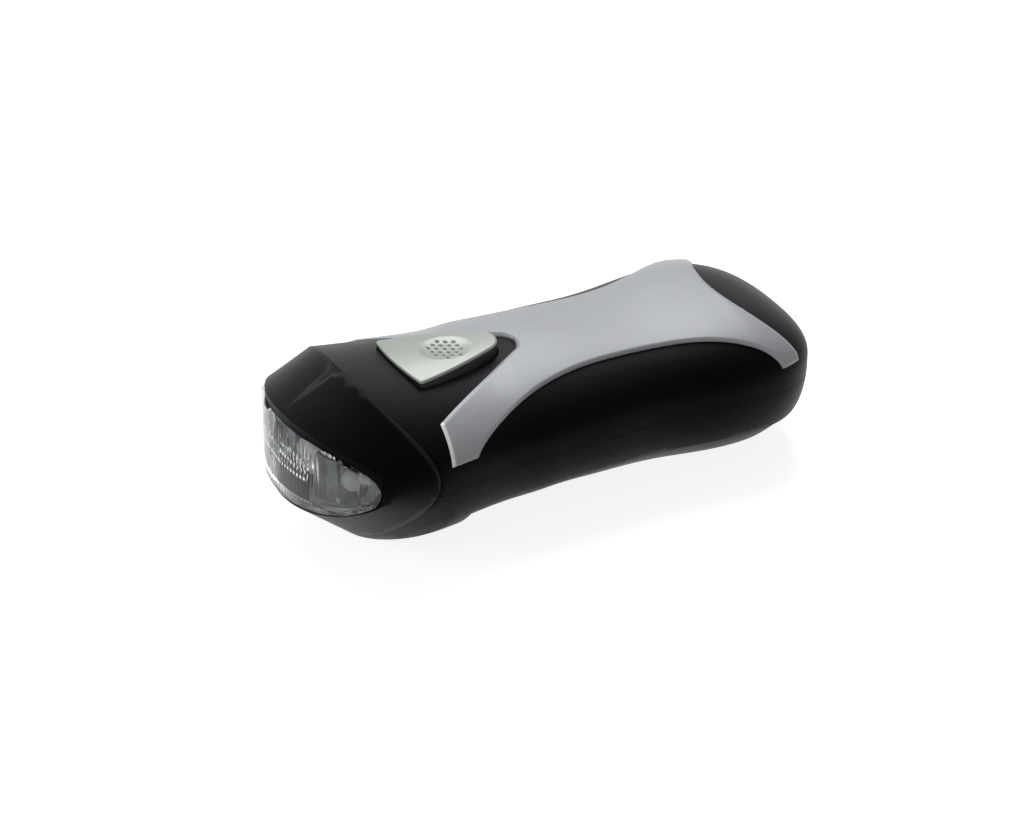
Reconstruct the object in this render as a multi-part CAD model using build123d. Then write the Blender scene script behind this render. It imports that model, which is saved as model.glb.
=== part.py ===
"""Hand crank flashlight: a waisted pocket torch whose crank arm folds flat under the body.

Millimetres, +Z up. The lens faces -Y, X runs across, and the torch stands on its flat underside at Z = 0.
"""
from build123d import *
from math import acos, cos, pi, radians, sin, sqrt, tan
import os

# ---- body: stations along the length, measured from the middle of the torch ----
LENGTH = 123.0
FRONT_Y = -LENGTH / 2
TAIL_Y = LENGTH / 2
MID_Z = 22.4  # height of the widest line round the body

BROW_Y, BROW_HALF_WIDTH, BROW_TOP, BROW_KEEL = FRONT_Y + 14.0, 27.4, 39.2, -0.3
HEAD_Y, HEAD_HALF_WIDTH, HEAD_TOP, HEAD_KEEL = FRONT_Y + 25.0, 27.3, 36.6, -0.3
NECK_Y, NECK_HALF_WIDTH, NECK_TOP, NECK_KEEL = -18.5, 24.8, 34.1, 0.6
WAIST_Y, WAIST_HALF_WIDTH, WAIST_TOP, WAIST_KEEL = 1.5, 23.9, 33.6, 1.0
HIP_Y, HIP_HALF_WIDTH, HIP_TOP, HIP_KEEL = 21.5, 23.3, 32.8, 0.0
RUMP_Y, RUMP_HALF_WIDTH, RUMP_TOP, RUMP_KEEL = TAIL_Y - 22.0, 25.1, 33.4, -1.4
STATIONS = [
    (BROW_Y, BROW_HALF_WIDTH, BROW_TOP, BROW_KEEL),
    (HEAD_Y, HEAD_HALF_WIDTH, HEAD_TOP, HEAD_KEEL),
    (NECK_Y, NECK_HALF_WIDTH, NECK_TOP, NECK_KEEL),
    (WAIST_Y, WAIST_HALF_WIDTH, WAIST_TOP, WAIST_KEEL),
    (HIP_Y, HIP_HALF_WIDTH, HIP_TOP, HIP_KEEL),
    (RUMP_Y, RUMP_HALF_WIDTH, RUMP_TOP, RUMP_KEEL),
]
SECTION_PITCH = 9.0  # distance between the sections that the body is drawn through
BODY_LEAD_IN = 5.0  # the body's form starts this far ahead of the face that is cut on it
CROWN_FULLNESS_HEAD = 0.555  # 0.552 is an ellipse, 1 a rectangle
CROWN_FULLNESS_REAR = 0.67
KEEL_FULLNESS = 0.64
KEEL_FULLNESS_CREASE = 0.5
KEEL_FULLNESS_MOUTH = 0.615
KEEL_FILL_LENGTH = 10.3  # behind the crease the keel fills out over this length
TAIL_ROUNDNESS = 2.9  # exponent of the tail's outline seen from above
TAIL_STEPS = (0.22, 0.42, 0.6, 0.75, 0.86, 0.94, 0.985, 0.9985)
TAIL_END_TOP = 24.0  # the tail's last sliver stands between these two heights
TAIL_END_KEEL = 7.9
TAIL_DROP_Y = TAIL_Y - 18.5  # the crown starts to fall towards the tail here
TAIL_DROP_ROUNDNESS = 1.6
WALL = 1.8

# ---- snout: tapers from the crease to the lens, bowed forward like the lens ----
CREASE_Y = FRONT_Y + 14.2
CREASE_HALF_WIDTH = BROW_HALF_WIDTH - 0.05
CREASE_TOP = BROW_TOP
CREASE_KEEL = 0.0
CREASE_BOW_R = 42.6
MOUTH_Y = FRONT_Y + 0.5
MOUTH_HALF_WIDTH = CREASE_HALF_WIDTH - 1.3
MOUTH_TOP = 31.8
MOUTH_KEEL = 11.4
MOUTH_BOW_R = 34.0
SNOUT_BACK_Y = CREASE_Y + 19.3  # the taper plays no part behind this line
SNOUT_REACH = (-0.45, 2.3)  # how far the taper is drawn, in steps from the mouth to the crease
FACE_SETBACK = 0.7  # black face behind the lens that stands in it
FACE_WALL = 2.0
BEZEL_SEAM = 0.12
TONGUE_LENGTH = 3.0
TONGUE_WALL = 1.2
TONGUE_GAP = 0.1

# ---- lens and light ----
LENS_R = 34.0
LENS_AXIS_Y = FRONT_Y + LENS_R
FACE_R = LENS_R - FACE_SETBACK
LENS_HALF_WIDTH = MOUTH_HALF_WIDTH - 1.45
LENS_HALF_HEIGHT = 8.7
LENS_CROWN_FULLNESS = 0.65
LENS_SOLE_FULLNESS = 0.63
LENS_Z = 21.1
LENS_DEPTH = 20.0  # the opening for the lens runs this far back
LENS_WALL = 1.8
LENS_GAP = 0.1
LENS_LIP_HALF_WIDTH = LENS_HALF_WIDTH - 3.0
LENS_LIP_HEIGHT = 1.3
LENS_LIP = 1.3
REFLECTOR_HALF_WIDTH = LENS_HALF_WIDTH - 1.9
REFLECTOR_HALF_HEIGHT = LENS_HALF_HEIGHT - 0.7
REFLECTOR_BACK_Y = FRONT_Y + 14.1
REFLECTOR_DEPTH = 7.0
CUP_HALF_ANGLE = 24.0
LED_PITCH = 15.3
LED_R = 2.5
LED_BARREL = 5.2
LED_CLEARANCE = 0.2
LED_FLANGE_R = 2.9
LED_FLANGE = 1.0
LED_LEG_R = 0.25
LED_LEG_X = 1.27
LED_LEG_END = 0.8  # left standing out of the board
BOARD_T = 1.2
LED_BOARD_SIDE_GAP = 3.0
LED_BOARD_HALF_HEIGHT = 6.0
LED_BOARD_Y = REFLECTOR_BACK_Y + LED_FLANGE + LED_CLEARANCE
REFLECTOR_POST_R = 1.6

# ---- shells, crank bay and case screws ----
PARTING_Z = 18.5
PARTING_GAP = 0.1
ARM_TOP = 9.0
DECK_GAP = 0.4
DECK_Z = ARM_TOP + DECK_GAP
FLOOR_Z = DECK_Z + WALL
HUB_Y = 33.5  # the mechanism keeps its place from the middle of the torch
BAY_R = 65.0
ARM_END_GAP = 0.5
ARM_REAR_R = 25.6
ARM_INSET = 0.7
BOSS_R = 3.0
FRONT_SCREW_SIDE_GAP = 2.3  # from the button's outline to the boss
FRONT_SCREW_Y = -25.5
REAR_SCREW_X = 17.6
REAR_SCREW_Y = HUB_Y + 14.2
CASE_SCREW_R = 1.1
CASE_SCREW_HEAD_R = 2.3
CASE_SCREW_HEAD = 1.2
CASE_SCREW_END_Z = 25.5
HEAD_CLEARANCE = 0.1
SCREW_FIT = 0.05
SCREW_TIP_GAP = 1.0

# ---- top trim ----
TRIM_T = 1.0
TRIM_FOOT_Z = 24.7
TRIM_NOTCH_APEX_Y = -5.0
TRIM_NOTCH_HALF_WIDTH = 20.2
TRIM_APEX_HALF_WIDTH = 3.2
TRIM_APEX_LENGTH = 1.4
TRIM_LEG_FRONT_Y = -33.7
TRIM_LEG_SWEEP = 1.3
TRIM_LEG_BACK_Y = -28.6
TRIM_WAIST_HALF_WIDTH = 13.3
TRIM_WAIST_Y = 11.0
TRIM_REAR_HALF_WIDTH = 23.2
TRIM_REAR_CORNER_Y = TAIL_Y - 15.3
TRIM_TIP_Y = TAIL_Y - 8.9
TRIM_TIP_HALF_WIDTH = 21.5
TRIM_REAR_NOTCH_Y = TAIL_Y - 17.3
TRIM_REAR_BOW = 2.2
TRIM_LEG_OVERHANG = 2.0  # the outline is drawn this far past the body's sides
TRIM_TIP_OVERHANG = 4.0
TRIM_TIP_SLANT = 1.0
TRIM_LEG_FLARE = 3.9
TRIM_FOOT_SETBACK = 1.0  # of the leg's back edge from the body's side
TRIM_SHOULDER_X, TRIM_SHOULDER_Y = 2.6, 6.0  # from the notch's corner and the leg's back edge
TRIM_NECK_X, TRIM_NECK_SETBACK = 2.5, 17.0  # from the trim's waist
TRIM_HIP_X, TRIM_HIP_SETBACK = 1.5, 17.5

# ---- button and switch ----
BUTTON_SETBACK = 9.4  # from the front edge to the switch
BUTTON_LENGTH = 24.7
BUTTON_FRONT_BOW = 1.5  # how far the front edge falls back at the corners
BUTTON_TIP_LENGTH = 2.7
BUTTON_HALF_WIDTH = 10.3
BUTTON_CORNER_R = 1.9
BUTTON_TIP_HALF_WIDTH = 4.1
BUTTON_BELLY = 0.6
BUTTON_TOP = 37.3  # height of its nearly flat top at the front edge
BUTTON_SLOPE = 1.4  # degrees that the top falls towards the tail
BUTTON_CROWN_R = 75.0
DIMPLE_SETBACK = 3.0  # behind the switch
DIMPLE_R = 5.0
DIMPLE_DEPTH = 0.4
BUTTON_TRAVEL = 1.2
BUTTON_GAP = 0.35
BUTTON_FLANGE = 1.1
BUTTON_FLANGE_T = 1.2
STEM_LENGTH = 0.8
BUTTON_REAR_GAP = 1.3  # left over the generator when the button is down
GUIDE_WALL = 1.0
GUIDE_STOP_GAP = 0.3
SWITCH_SETBACK = 7.5  # from the generator
SWITCH_SIDE = 6.2
SWITCH_H = 3.4
PLUNGER_R = 1.6
PLUNGER_SINK = 1.0
STEM_R = 2.2
STEM_GAP = 0.05
SPRING_R = 5.4
SPRING_WIRE = 0.7
SPRING_GAP = 0.05

# ---- gear train ----
GEAR_MODULE = 0.6
PRESSURE_ANGLE = 25.0
GEAR_BACKLASH = 0.14
CRANK_TEETH = 60
IDLER_PINION_TEETH = 12
IDLER_TEETH = 48
ROTOR_TEETH = 10
CRANK_GEAR_T = 3.0
IDLER_T = 2.0
GEAR_GAP = 0.7
PINION_OVERLAP = 0.3
GEAR_PLATE_T = 2.0
GEAR_PLATE_HALF_WIDTH = 15.0
GEAR_PLATE_HUB_R = 9.0
GEAR_PLATE_FRONT = 13.0  # from the rotor's axis
PLATE_SCREW_SETBACK = 10.0
PLATE_POST_GAP = 0.7  # between the rear posts and the two wheels that they stand beside
PLATE_PAD_R = 2.6
PLATE_SCREW_LENGTH = 5.5
TOOTH_TIP = 0.8  # in modules
TOOTH_ROOT = 1.05
AXLE_R = 1.0
RUN_FIT = 0.05
IDLER_HEADROOM = 1.2
PIN_SINK = 0.6  # of the idler's pin into the deck
PIN_ROOF = 0.5  # of the gear plate over the same pin
BEARING_STEP = 0.8  # from the lower bearing's seat to the wheels above it
BEARING_SEAT_WALL = 1.2
POST_ROOT = 0.5  # of a post into the floor

# ---- crank arm, shaft and knob ----
SHAFT_R = 4.0
SHAFT_SOCKET_Z = 4.2
BUSH_WALL = 1.6
BUSH_FLANGE_R = 7.6
BUSH_FLANGE = 0.8
WASHER_T = 0.4
SHAFT_PIN_R = 1.5
CLIP_R = 3.0
CLIP_T = 0.8
HUB_CAP_R = 7.0
HUB_CAP_T = 1.2
HUB_SCREW_R = 1.5
HUB_SCREW_HEAD_R = 2.9
HUB_SCREW_HEAD = 1.6
KNOB_PIN_Y = -25.3
KNOB_Z = 4.4
KNOB_R = 3.5
KNOB_LENGTH = 18.0
KNOB_SIDE_GAP = 0.7
YOKE_R = 3.2
YOKE_LENGTH = 3.6
YOKE_HALF_WIDTH = 3.6
SPINDLE_R = 1.5
KNOB_END_GAP = 0.2
KNOB_CAP_R = 3.0
KNOB_CAP_T = 1.2
KNOB_PIN_R = 1.0
KNOB_PIN_HALF_LENGTH = 8.5
SLOT_ROOF = 1.0
THUMB_R = 9.0
THUMB_DEPTH = 4.0

# ---- generator ----
STATOR_R = 12.0
STATOR_H = 7.8
GENERATOR_GAP = 1.0
STATOR_T = 0.5
MAGNET_R = 6.6
MAGNET_H = 5.6
CLAW_R = 7.2
CLAW_COUNT = 4
CLAW_ANGLE = 32.0
ROTOR_SHAFT_R = 0.75
SHAFT_CLEARANCE = 0.4
SHAFT_FOOT_GAP = 0.8  # under the rotor's shaft, in its lower bearing
BEARING_R = 2.0
BEARING_SINK = 0.9
BOBBIN_WALL = 0.6
BOBBIN_CORE_R = 8.5

# ---- electrics ----
MAIN_BOARD_HALF_WIDTH = 12.0
MAIN_BOARD_FRONT_GAP = 4.0  # from the LED board
MAIN_BOARD_BACK_GAP = 1.7  # from the generator
MAIN_BOARD_TOP = 22.6
BOARD_POST_R = 2.0
BOARD_POST_X = 9.3
BOARD_POST_SETBACK = 4.6  # behind the front wall of the crank bay
BOARD_SCREW_R = 0.8
BOARD_SCREW_HEAD_R = 1.7
BOARD_SCREW_LENGTH = 4.5
SCREW_HEAD = 1.0
DIODE_R = 1.0
DIODE_HALF_LENGTH = 1.8
DIODE_PITCH = 4.0
DIODE_SETBACK = 2.2
CAPACITOR_R = 3.0
CAPACITOR_HALF_LENGTH = 6.0
CAPACITOR_SETBACK = 5.0
CELL_R = 10.0
CELL_T = 3.2
CELL_Y = 19.0
CELL_GAP = 0.15
TRAY_WALL = 1.0
TRAY_T = 0.8
TAB_T = 0.3
TAB_WIDTH = 4.0
TRAY_NOTCH = 10.0
LEAD_R = 0.6
LEAD_RISE = 2.2

# ---- heights and places that follow from the ones above ----
CRANK_GEAR_Z = FLOOR_Z + BUSH_FLANGE + WASHER_T
IDLER_Z = CRANK_GEAR_Z + CRANK_GEAR_T + GEAR_GAP
PLATE_Z = IDLER_Z + IDLER_T + IDLER_HEADROOM
PLATE_TOP = PLATE_Z + GEAR_PLATE_T
IDLER_Y = HUB_Y - GEAR_MODULE * (CRANK_TEETH + IDLER_PINION_TEETH) / 2
ROTOR_Y = IDLER_Y - GEAR_MODULE * (IDLER_TEETH + ROTOR_TEETH) / 2
STATOR_TOP = PLATE_TOP + STATOR_H
GENERATOR_FRONT_Y = ROTOR_Y - STATOR_R
SWITCH_Y = GENERATOR_FRONT_Y - SWITCH_SETBACK
BUTTON_FRONT_Y = SWITCH_Y - BUTTON_SETBACK
BUTTON_TIP_Y = BUTTON_FRONT_Y + BUTTON_LENGTH
PLUNGER_TOP = MAIN_BOARD_TOP + SWITCH_H + BUTTON_TRAVEL
BUTTON_FLANGE_Z = PLUNGER_TOP + STEM_LENGTH
BUTTON_FLANGE_TOP = BUTTON_FLANGE_Z + BUTTON_FLANGE_T
BUTTON_REAR_Z = STATOR_TOP + BUTTON_TRAVEL + BUTTON_REAR_GAP
FRONT_SCREW_X = BUTTON_HALF_WIDTH + FRONT_SCREW_SIDE_GAP + BOSS_R
MAIN_BOARD_FRONT_Y = LED_BOARD_Y + BOARD_T + MAIN_BOARD_FRONT_GAP
MAIN_BOARD_BACK_Y = GENERATOR_FRONT_Y - MAIN_BOARD_BACK_GAP
TRAY_Z = PLATE_TOP
CELL_Z = TRAY_Z + TRAY_T + TAB_T
FAR = 90.0  # reach of a cutting block, well outside the torch


# ---------------------------------------------------------------- plain helpers
def block(x0, x1, y0, y1, z0, z1):
    """Box between two corners."""
    return Pos((x0 + x1) / 2, (y0 + y1) / 2, (z0 + z1) / 2) * Box(x1 - x0, y1 - y0, z1 - z0)


def post(radius, z0, z1, x=0.0, y=0.0):
    """Upright cylinder between two heights."""
    return Pos(x, y, (z0 + z1) / 2) * Cylinder(radius, z1 - z0)


def pipe(outer, inner, z0, z1, x=0.0, y=0.0):
    """Upright tube between two heights."""
    return post(outer, z0, z1, x, y) - post(inner, z0 - 1, z1 + 1, x, y)


def rod_x(radius, x0, x1, y, z):
    """Cylinder lying across the torch."""
    return Pos((x0 + x1) / 2, y, z) * Rot(0, 90, 0) * Cylinder(radius, x1 - x0)


def rod_y(radius, y0, y1, x, z):
    """Cylinder lying along the torch."""
    return Pos(x, (y0 + y1) / 2, z) * Rot(90, 0, 0) * Cylinder(radius, y1 - y0)


def prism(outline, z0, z1):
    """Plan outline carried from one height to another."""
    return Pos(0, 0, z0) * extrude(outline, z1 - z0, dir=(0, 0, 1))


def save(name, *solids):
    """Write one piece, or a group of like pieces, under the name of its node."""
    found = [s for shape in solids for s in shape.solids()]
    shape = found[0] if len(found) == 1 else Compound(children=found)
    shape.label = name
    export_step(shape, f"parts/{name}.step")


# ---------------------------------------------------------------- the body's form
def along(y, column):
    """Value of one station column at y: cubic pieces whose slopes are the chords of the neighbours."""
    ys = [row[0] for row in STATIONS]
    vs = [row[column] for row in STATIONS]
    last = len(ys) - 1
    if y <= ys[0]:
        slope = (vs[1] - vs[0]) / (ys[1] - ys[0])
        return vs[0] + slope * (y - ys[0])
    k = max(i for i in range(last) if y >= ys[i])

    def slope_at(i):
        if i == last:
            return 0.0
        low = max(i - 1, 0)
        return (vs[i + 1] - vs[low]) / (ys[i + 1] - ys[low])

    span = ys[k + 1] - ys[k]
    t = (y - ys[k]) / span
    m0, m1 = slope_at(k) * span, slope_at(k + 1) * span
    h0, h1 = 2 * t**3 - 3 * t**2 + 1, t**3 - 2 * t**2 + t
    h2, h3 = -2 * t**3 + 3 * t**2, t**3 - t**2
    return h0 * vs[k] + h1 * m0 + h2 * vs[k + 1] + h3 * m1


def crown_fullness(y):
    """The crown goes from elliptical at the head to squarer behind the waist."""
    t = min(max((y - HEAD_Y) / (HIP_Y - HEAD_Y), 0.0), 1.0)
    return CROWN_FULLNESS_HEAD + (CROWN_FULLNESS_REAR - CROWN_FULLNESS_HEAD) * t


def keel_fullness(y):
    """The keel is lean at the crease and fills out behind it."""
    t = min(max((y - CREASE_Y) / KEEL_FILL_LENGTH, 0.0), 1.0)
    return KEEL_FULLNESS_CREASE + (KEEL_FULLNESS - KEEL_FULLNESS_CREASE) * t


def ring(y, half_width, top, keel, crown, sole, bow=0.0, middle=MID_Z):
    """One closed cross-section: four curves that meet at the sides, the crown and the keel."""
    w, rise, drop = half_width, (top - middle) * crown, (middle - keel) * sole
    right, left = (w, y + bow, middle), (-w, y + bow, middle)
    up, down = (0, y, top), (0, y, keel)
    over, under = w * crown, w * sole
    edges = [
        Bezier(right, (w, y + bow, middle + rise), (over, y, top), up),
        Bezier(up, (-over, y, top), (-w, y + bow, middle + rise), left),
        Bezier(left, (-w, y + bow, middle - drop), (-under, y, keel), down),
        Bezier(down, (under, y, keel), (w, y + bow, middle - drop), right),
    ]
    return Wire(edges)


def tail_drop(y):
    """How far the tail's crown and keel have still to close, from 1 at the rump to 0 at the end."""
    u = min(max((y - TAIL_DROP_Y) / (TAIL_Y - TAIL_DROP_Y), 0.0), 1.0)
    return (1 - u**TAIL_DROP_ROUNDNESS) ** (1 / TAIL_DROP_ROUNDNESS)


def body_form(inset):
    """The whole body as one smooth solid, its skin moved inwards by inset (outwards if negative)."""
    start = FRONT_Y - BODY_LEAD_IN
    count = round((RUMP_Y - start) / SECTION_PITCH)
    rings = []
    for i in range(count + 1):
        y = start + (RUMP_Y - start) * i / count
        width, top, keel = along(y, 1) - inset, along(y, 2) - inset, along(y, 3) + inset
        rings.append(ring(y, width, top, keel, crown_fullness(y), keel_fullness(y)))
    span = TAIL_Y - RUMP_Y
    for u in TAIL_STEPS:
        y = RUMP_Y + span * u
        drop = tail_drop(y)
        width = (RUMP_HALF_WIDTH - inset) * (1 - u**TAIL_ROUNDNESS) ** (1 / TAIL_ROUNDNESS)
        top = TAIL_END_TOP + (RUMP_TOP - TAIL_END_TOP) * drop - inset
        keel = TAIL_END_KEEL + (RUMP_KEEL - TAIL_END_KEEL) * drop + inset
        rings.append(ring(RUMP_Y + (span - inset) * u, width, top, keel, crown_fullness(y), KEEL_FULLNESS))
    return Solid.make_loft(rings)


def bow(radius, half_width):
    """How far an arc of this radius falls back from its middle at this half width."""
    return radius - sqrt(radius**2 - half_width**2)


def snout_form(inset):
    """The tapering head: straight lines from the mouth outline through the crease outline."""

    def at(t):
        y = MOUTH_Y + (CREASE_Y - MOUTH_Y) * t
        width = MOUTH_HALF_WIDTH + (CREASE_HALF_WIDTH - MOUTH_HALF_WIDTH) * t - inset
        top = MOUTH_TOP + (CREASE_TOP - MOUTH_TOP) * t - inset
        keel = MOUTH_KEEL + (CREASE_KEEL - MOUTH_KEEL) * t + inset
        sole = KEEL_FULLNESS_MOUTH + (KEEL_FULLNESS_CREASE - KEEL_FULLNESS_MOUTH) * t
        front, back = bow(MOUTH_BOW_R, width), bow(CREASE_BOW_R, width)
        return y, (width, top, keel, CROWN_FULLNESS_HEAD, sole), front + (back - front) * t

    near_y, near, near_bow = at(SNOUT_REACH[0])
    far_y, far, far_bow = at(SNOUT_REACH[1])
    rings = [
        ring(near_y - near_bow, *near),
        ring(near_y, *near, near_bow),
        ring(far_y, *far, far_bow),
        ring(far_y + 2 * far_bow, *far),
    ]
    return Solid.make_loft(rings, ruled=True)


def ahead_of(radius, axis_y):
    """All that lies in front of an upright cylinder, on the lens side of its axis."""
    return block(-FAR, FAR, -2 * FAR, axis_y, -FAR, FAR) - post(radius, -FAR, FAR, 0, axis_y)


def skin(inset, face_radius):
    """Body form with the snout's taper and the curved face cut on it."""
    form = body_form(inset) - (block(-FAR, FAR, -2 * FAR, SNOUT_BACK_Y, -FAR, FAR) - snout_form(inset))
    return form - ahead_of(face_radius, LENS_AXIS_Y)


def in_front_of_crease(gap):
    """The space of the bezel: ahead of the bowed crease, less a gap."""
    return ahead_of(CREASE_BOW_R + gap, CREASE_Y + CREASE_BOW_R)


# ---------------------------------------------------------------- outlines seen from above
def visor_prism(half_width, half_height, y0, y1):
    """The lens's outline carried along the torch."""
    outline = ring(
        y0, half_width, LENS_Z + half_height, LENS_Z - half_height,
        LENS_CROWN_FULLNESS, LENS_SOLE_FULLNESS, 0.0, LENS_Z,
    )
    return extrude(make_face(outline), y1 - y0, dir=(0, 1, 0))


def over_generator(top):
    """Space over the generator, up to a height, that the button's underside stays out of."""
    return block(-FAR, FAR, GENERATOR_FRONT_Y - GENERATOR_GAP, FAR, 0, top)


def button_outline(grow=0.0):
    """Teardrop: bowed front edge, slightly full sides, rounded tip."""
    half, tip = BUTTON_HALF_WIDTH, BUTTON_TIP_HALF_WIDTH
    front, tip_y = BUTTON_FRONT_Y + BUTTON_FRONT_BOW, BUTTON_TIP_Y - BUTTON_TIP_LENGTH
    side = Vector(half - tip, front - tip_y).normalized()
    mid = ((half + tip) / 2 - side.Y * BUTTON_BELLY, (front + tip_y) / 2 + side.X * BUTTON_BELLY)
    lines = [
        ThreePointArc((-half, front), (0, BUTTON_FRONT_Y), (half, front)),
        ThreePointArc((half, front), mid, (tip, tip_y)),
        ThreePointArc((tip, tip_y), (0, BUTTON_TIP_Y), (-tip, tip_y)),
        ThreePointArc((-tip, tip_y), (-mid[0], mid[1]), (-half, front)),
    ]
    face = make_face(Wire(lines).edges())
    corners = face.vertices().filter_by(lambda v: v.Y < front + 1.0)
    face = fillet(corners, BUTTON_CORNER_R)
    return offset(face, grow) if grow else face


def button_crown():
    """Everything under the button's own top: a wide barrel that falls slightly to the tail, dimpled."""
    lie = Pos(0, BUTTON_FRONT_Y, BUTTON_TOP) * Rot(-BUTTON_SLOPE, 0, 0)
    barrel = lie * Pos(0, 0, -BUTTON_CROWN_R) * Rot(90, 0, 0) * Cylinder(BUTTON_CROWN_R, FAR)
    ball_r = (DIMPLE_R**2 + DIMPLE_DEPTH**2) / (2 * DIMPLE_DEPTH)
    ball = lie * Pos(0, BUTTON_SETBACK + DIMPLE_SETBACK, ball_r - DIMPLE_DEPTH) * Sphere(ball_r)
    return barrel - ball


def trim_outline():
    """X-shaped trim: right half as lines and curves, mirrored and joined."""
    side, tip_x = TRIM_WAIST_HALF_WIDTH, TRIM_REAR_HALF_WIDTH + TRIM_TIP_OVERHANG
    far_x, back_y = HEAD_HALF_WIDTH + TRIM_LEG_OVERHANG, TRIM_LEG_BACK_Y - TRIM_LEG_FLARE
    tip_y0, tip_y1 = TRIM_TIP_Y - TRIM_TIP_SLANT, TRIM_TIP_Y + TRIM_TIP_SLANT
    outer = Spline(
        [(far_x, back_y), (HEAD_HALF_WIDTH - TRIM_FOOT_SETBACK, TRIM_LEG_BACK_Y),
         (TRIM_NOTCH_HALF_WIDTH + TRIM_SHOULDER_X, TRIM_LEG_BACK_Y + TRIM_SHOULDER_Y),
         (side + TRIM_NECK_X, TRIM_WAIST_Y - TRIM_NECK_SETBACK), (side, TRIM_WAIST_Y),
         (side + TRIM_HIP_X, TRIM_WAIST_Y + TRIM_HIP_SETBACK), (TRIM_REAR_HALF_WIDTH, TRIM_REAR_CORNER_Y),
         (tip_x, tip_y0)],
    )
    apex_x, apex_y = TRIM_APEX_HALF_WIDTH, TRIM_NOTCH_APEX_Y - TRIM_APEX_LENGTH
    lines = [
        Line((0, TRIM_NOTCH_APEX_Y), (0, TRIM_REAR_NOTCH_Y)),
        ThreePointArc(
            (0, TRIM_REAR_NOTCH_Y), (TRIM_TIP_HALF_WIDTH / 2, TRIM_REAR_NOTCH_Y + TRIM_REAR_BOW),
            (TRIM_TIP_HALF_WIDTH, TRIM_TIP_Y),
        ),
        Line((TRIM_TIP_HALF_WIDTH, TRIM_TIP_Y), (tip_x, tip_y1)),
        Line((tip_x, tip_y1), (tip_x, tip_y0)),
        outer,
        Line((far_x, back_y), (far_x, TRIM_LEG_FRONT_Y - TRIM_LEG_SWEEP)),
        Line((far_x, TRIM_LEG_FRONT_Y - TRIM_LEG_SWEEP), (TRIM_NOTCH_HALF_WIDTH, TRIM_LEG_FRONT_Y)),
        Line((apex_x, apex_y), (TRIM_NOTCH_HALF_WIDTH, TRIM_LEG_FRONT_Y)),
        ThreePointArc(
            (0, TRIM_NOTCH_APEX_Y), (apex_x * 0.6, TRIM_NOTCH_APEX_Y - TRIM_APEX_LENGTH / 4), (apex_x, apex_y)
        ),
    ]
    half = make_face(Wire(lines).edges())
    return half + mirror(half, Plane.YZ)


# ---------------------------------------------------------------- toothed wheels
def involute(angle):
    """Involute function of an angle in radians."""
    return tan(angle) - angle


def toothed(teeth, facing, z0, z1, x=0.0, y=0.0, gap_faces=False):
    """Spur wheel with a tooth (or a gap) facing the given direction in degrees."""
    pitch = GEAR_MODULE * teeth / 2
    base = pitch * cos(radians(PRESSURE_ANGLE))
    tip, root = pitch + TOOTH_TIP * GEAR_MODULE, pitch - TOOTH_ROOT * GEAR_MODULE
    half = (pi * GEAR_MODULE / 2 - GEAR_BACKLASH) / (2 * pitch) + involute(radians(PRESSURE_ANGLE))
    low = max(base, root)
    flank = [(r, half - involute(acos(min(base / r, 1.0)))) for r in (low, (low + tip) / 2, tip)]
    if base > root:
        flank.insert(0, (root, flank[0][1]))
    step = 2 * pi / teeth
    start = radians(facing) + (step / 2 if gap_faces else 0.0)
    points = []
    for k in range(teeth):
        middle = start + k * step
        points += [(r * cos(middle - a), r * sin(middle - a)) for r, a in flank]
        points += [(r * cos(middle + a), r * sin(middle + a)) for r, a in reversed(flank)]
    face = make_face(Polyline(*points, close=True))
    return Pos(x, y, z0) * extrude(face, z1 - z0, dir=(0, 0, 1))


# ---------------------------------------------------------------- shells, bezel and trim
def case_screw_places():
    """Centres of the four case screws."""
    pairs = [(FRONT_SCREW_X, FRONT_SCREW_Y), (REAR_SCREW_X, REAR_SCREW_Y)]
    return [(side * x, y) for x, y in pairs for side in (-1, 1)]


def upper_shell(outside, inside):
    """Top half of the case with its screw bosses and the button's opening and guide."""
    shell = (outside - inside) & block(-FAR, FAR, -FAR, FAR, PARTING_Z + PARTING_GAP / 2, FAR)
    shell -= in_front_of_crease(0.0)
    core = body_form(WALL / 2)
    for x, y in case_screw_places():
        shell += post(BOSS_R, PARTING_Z + PARTING_GAP / 2, FAR / 2, x, y) & core
        shell -= post(CASE_SCREW_R, 0, CASE_SCREW_END_Z + SCREW_TIP_GAP, x, y)
    guide = prism(button_outline(BUTTON_GAP + GUIDE_WALL), BUTTON_FLANGE_TOP + GUIDE_STOP_GAP, FAR / 2)
    guide -= over_generator(BUTTON_REAR_Z - GUIDE_STOP_GAP)
    shell += guide & core
    return shell - prism(button_outline(BUTTON_GAP), 0, FAR)


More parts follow.
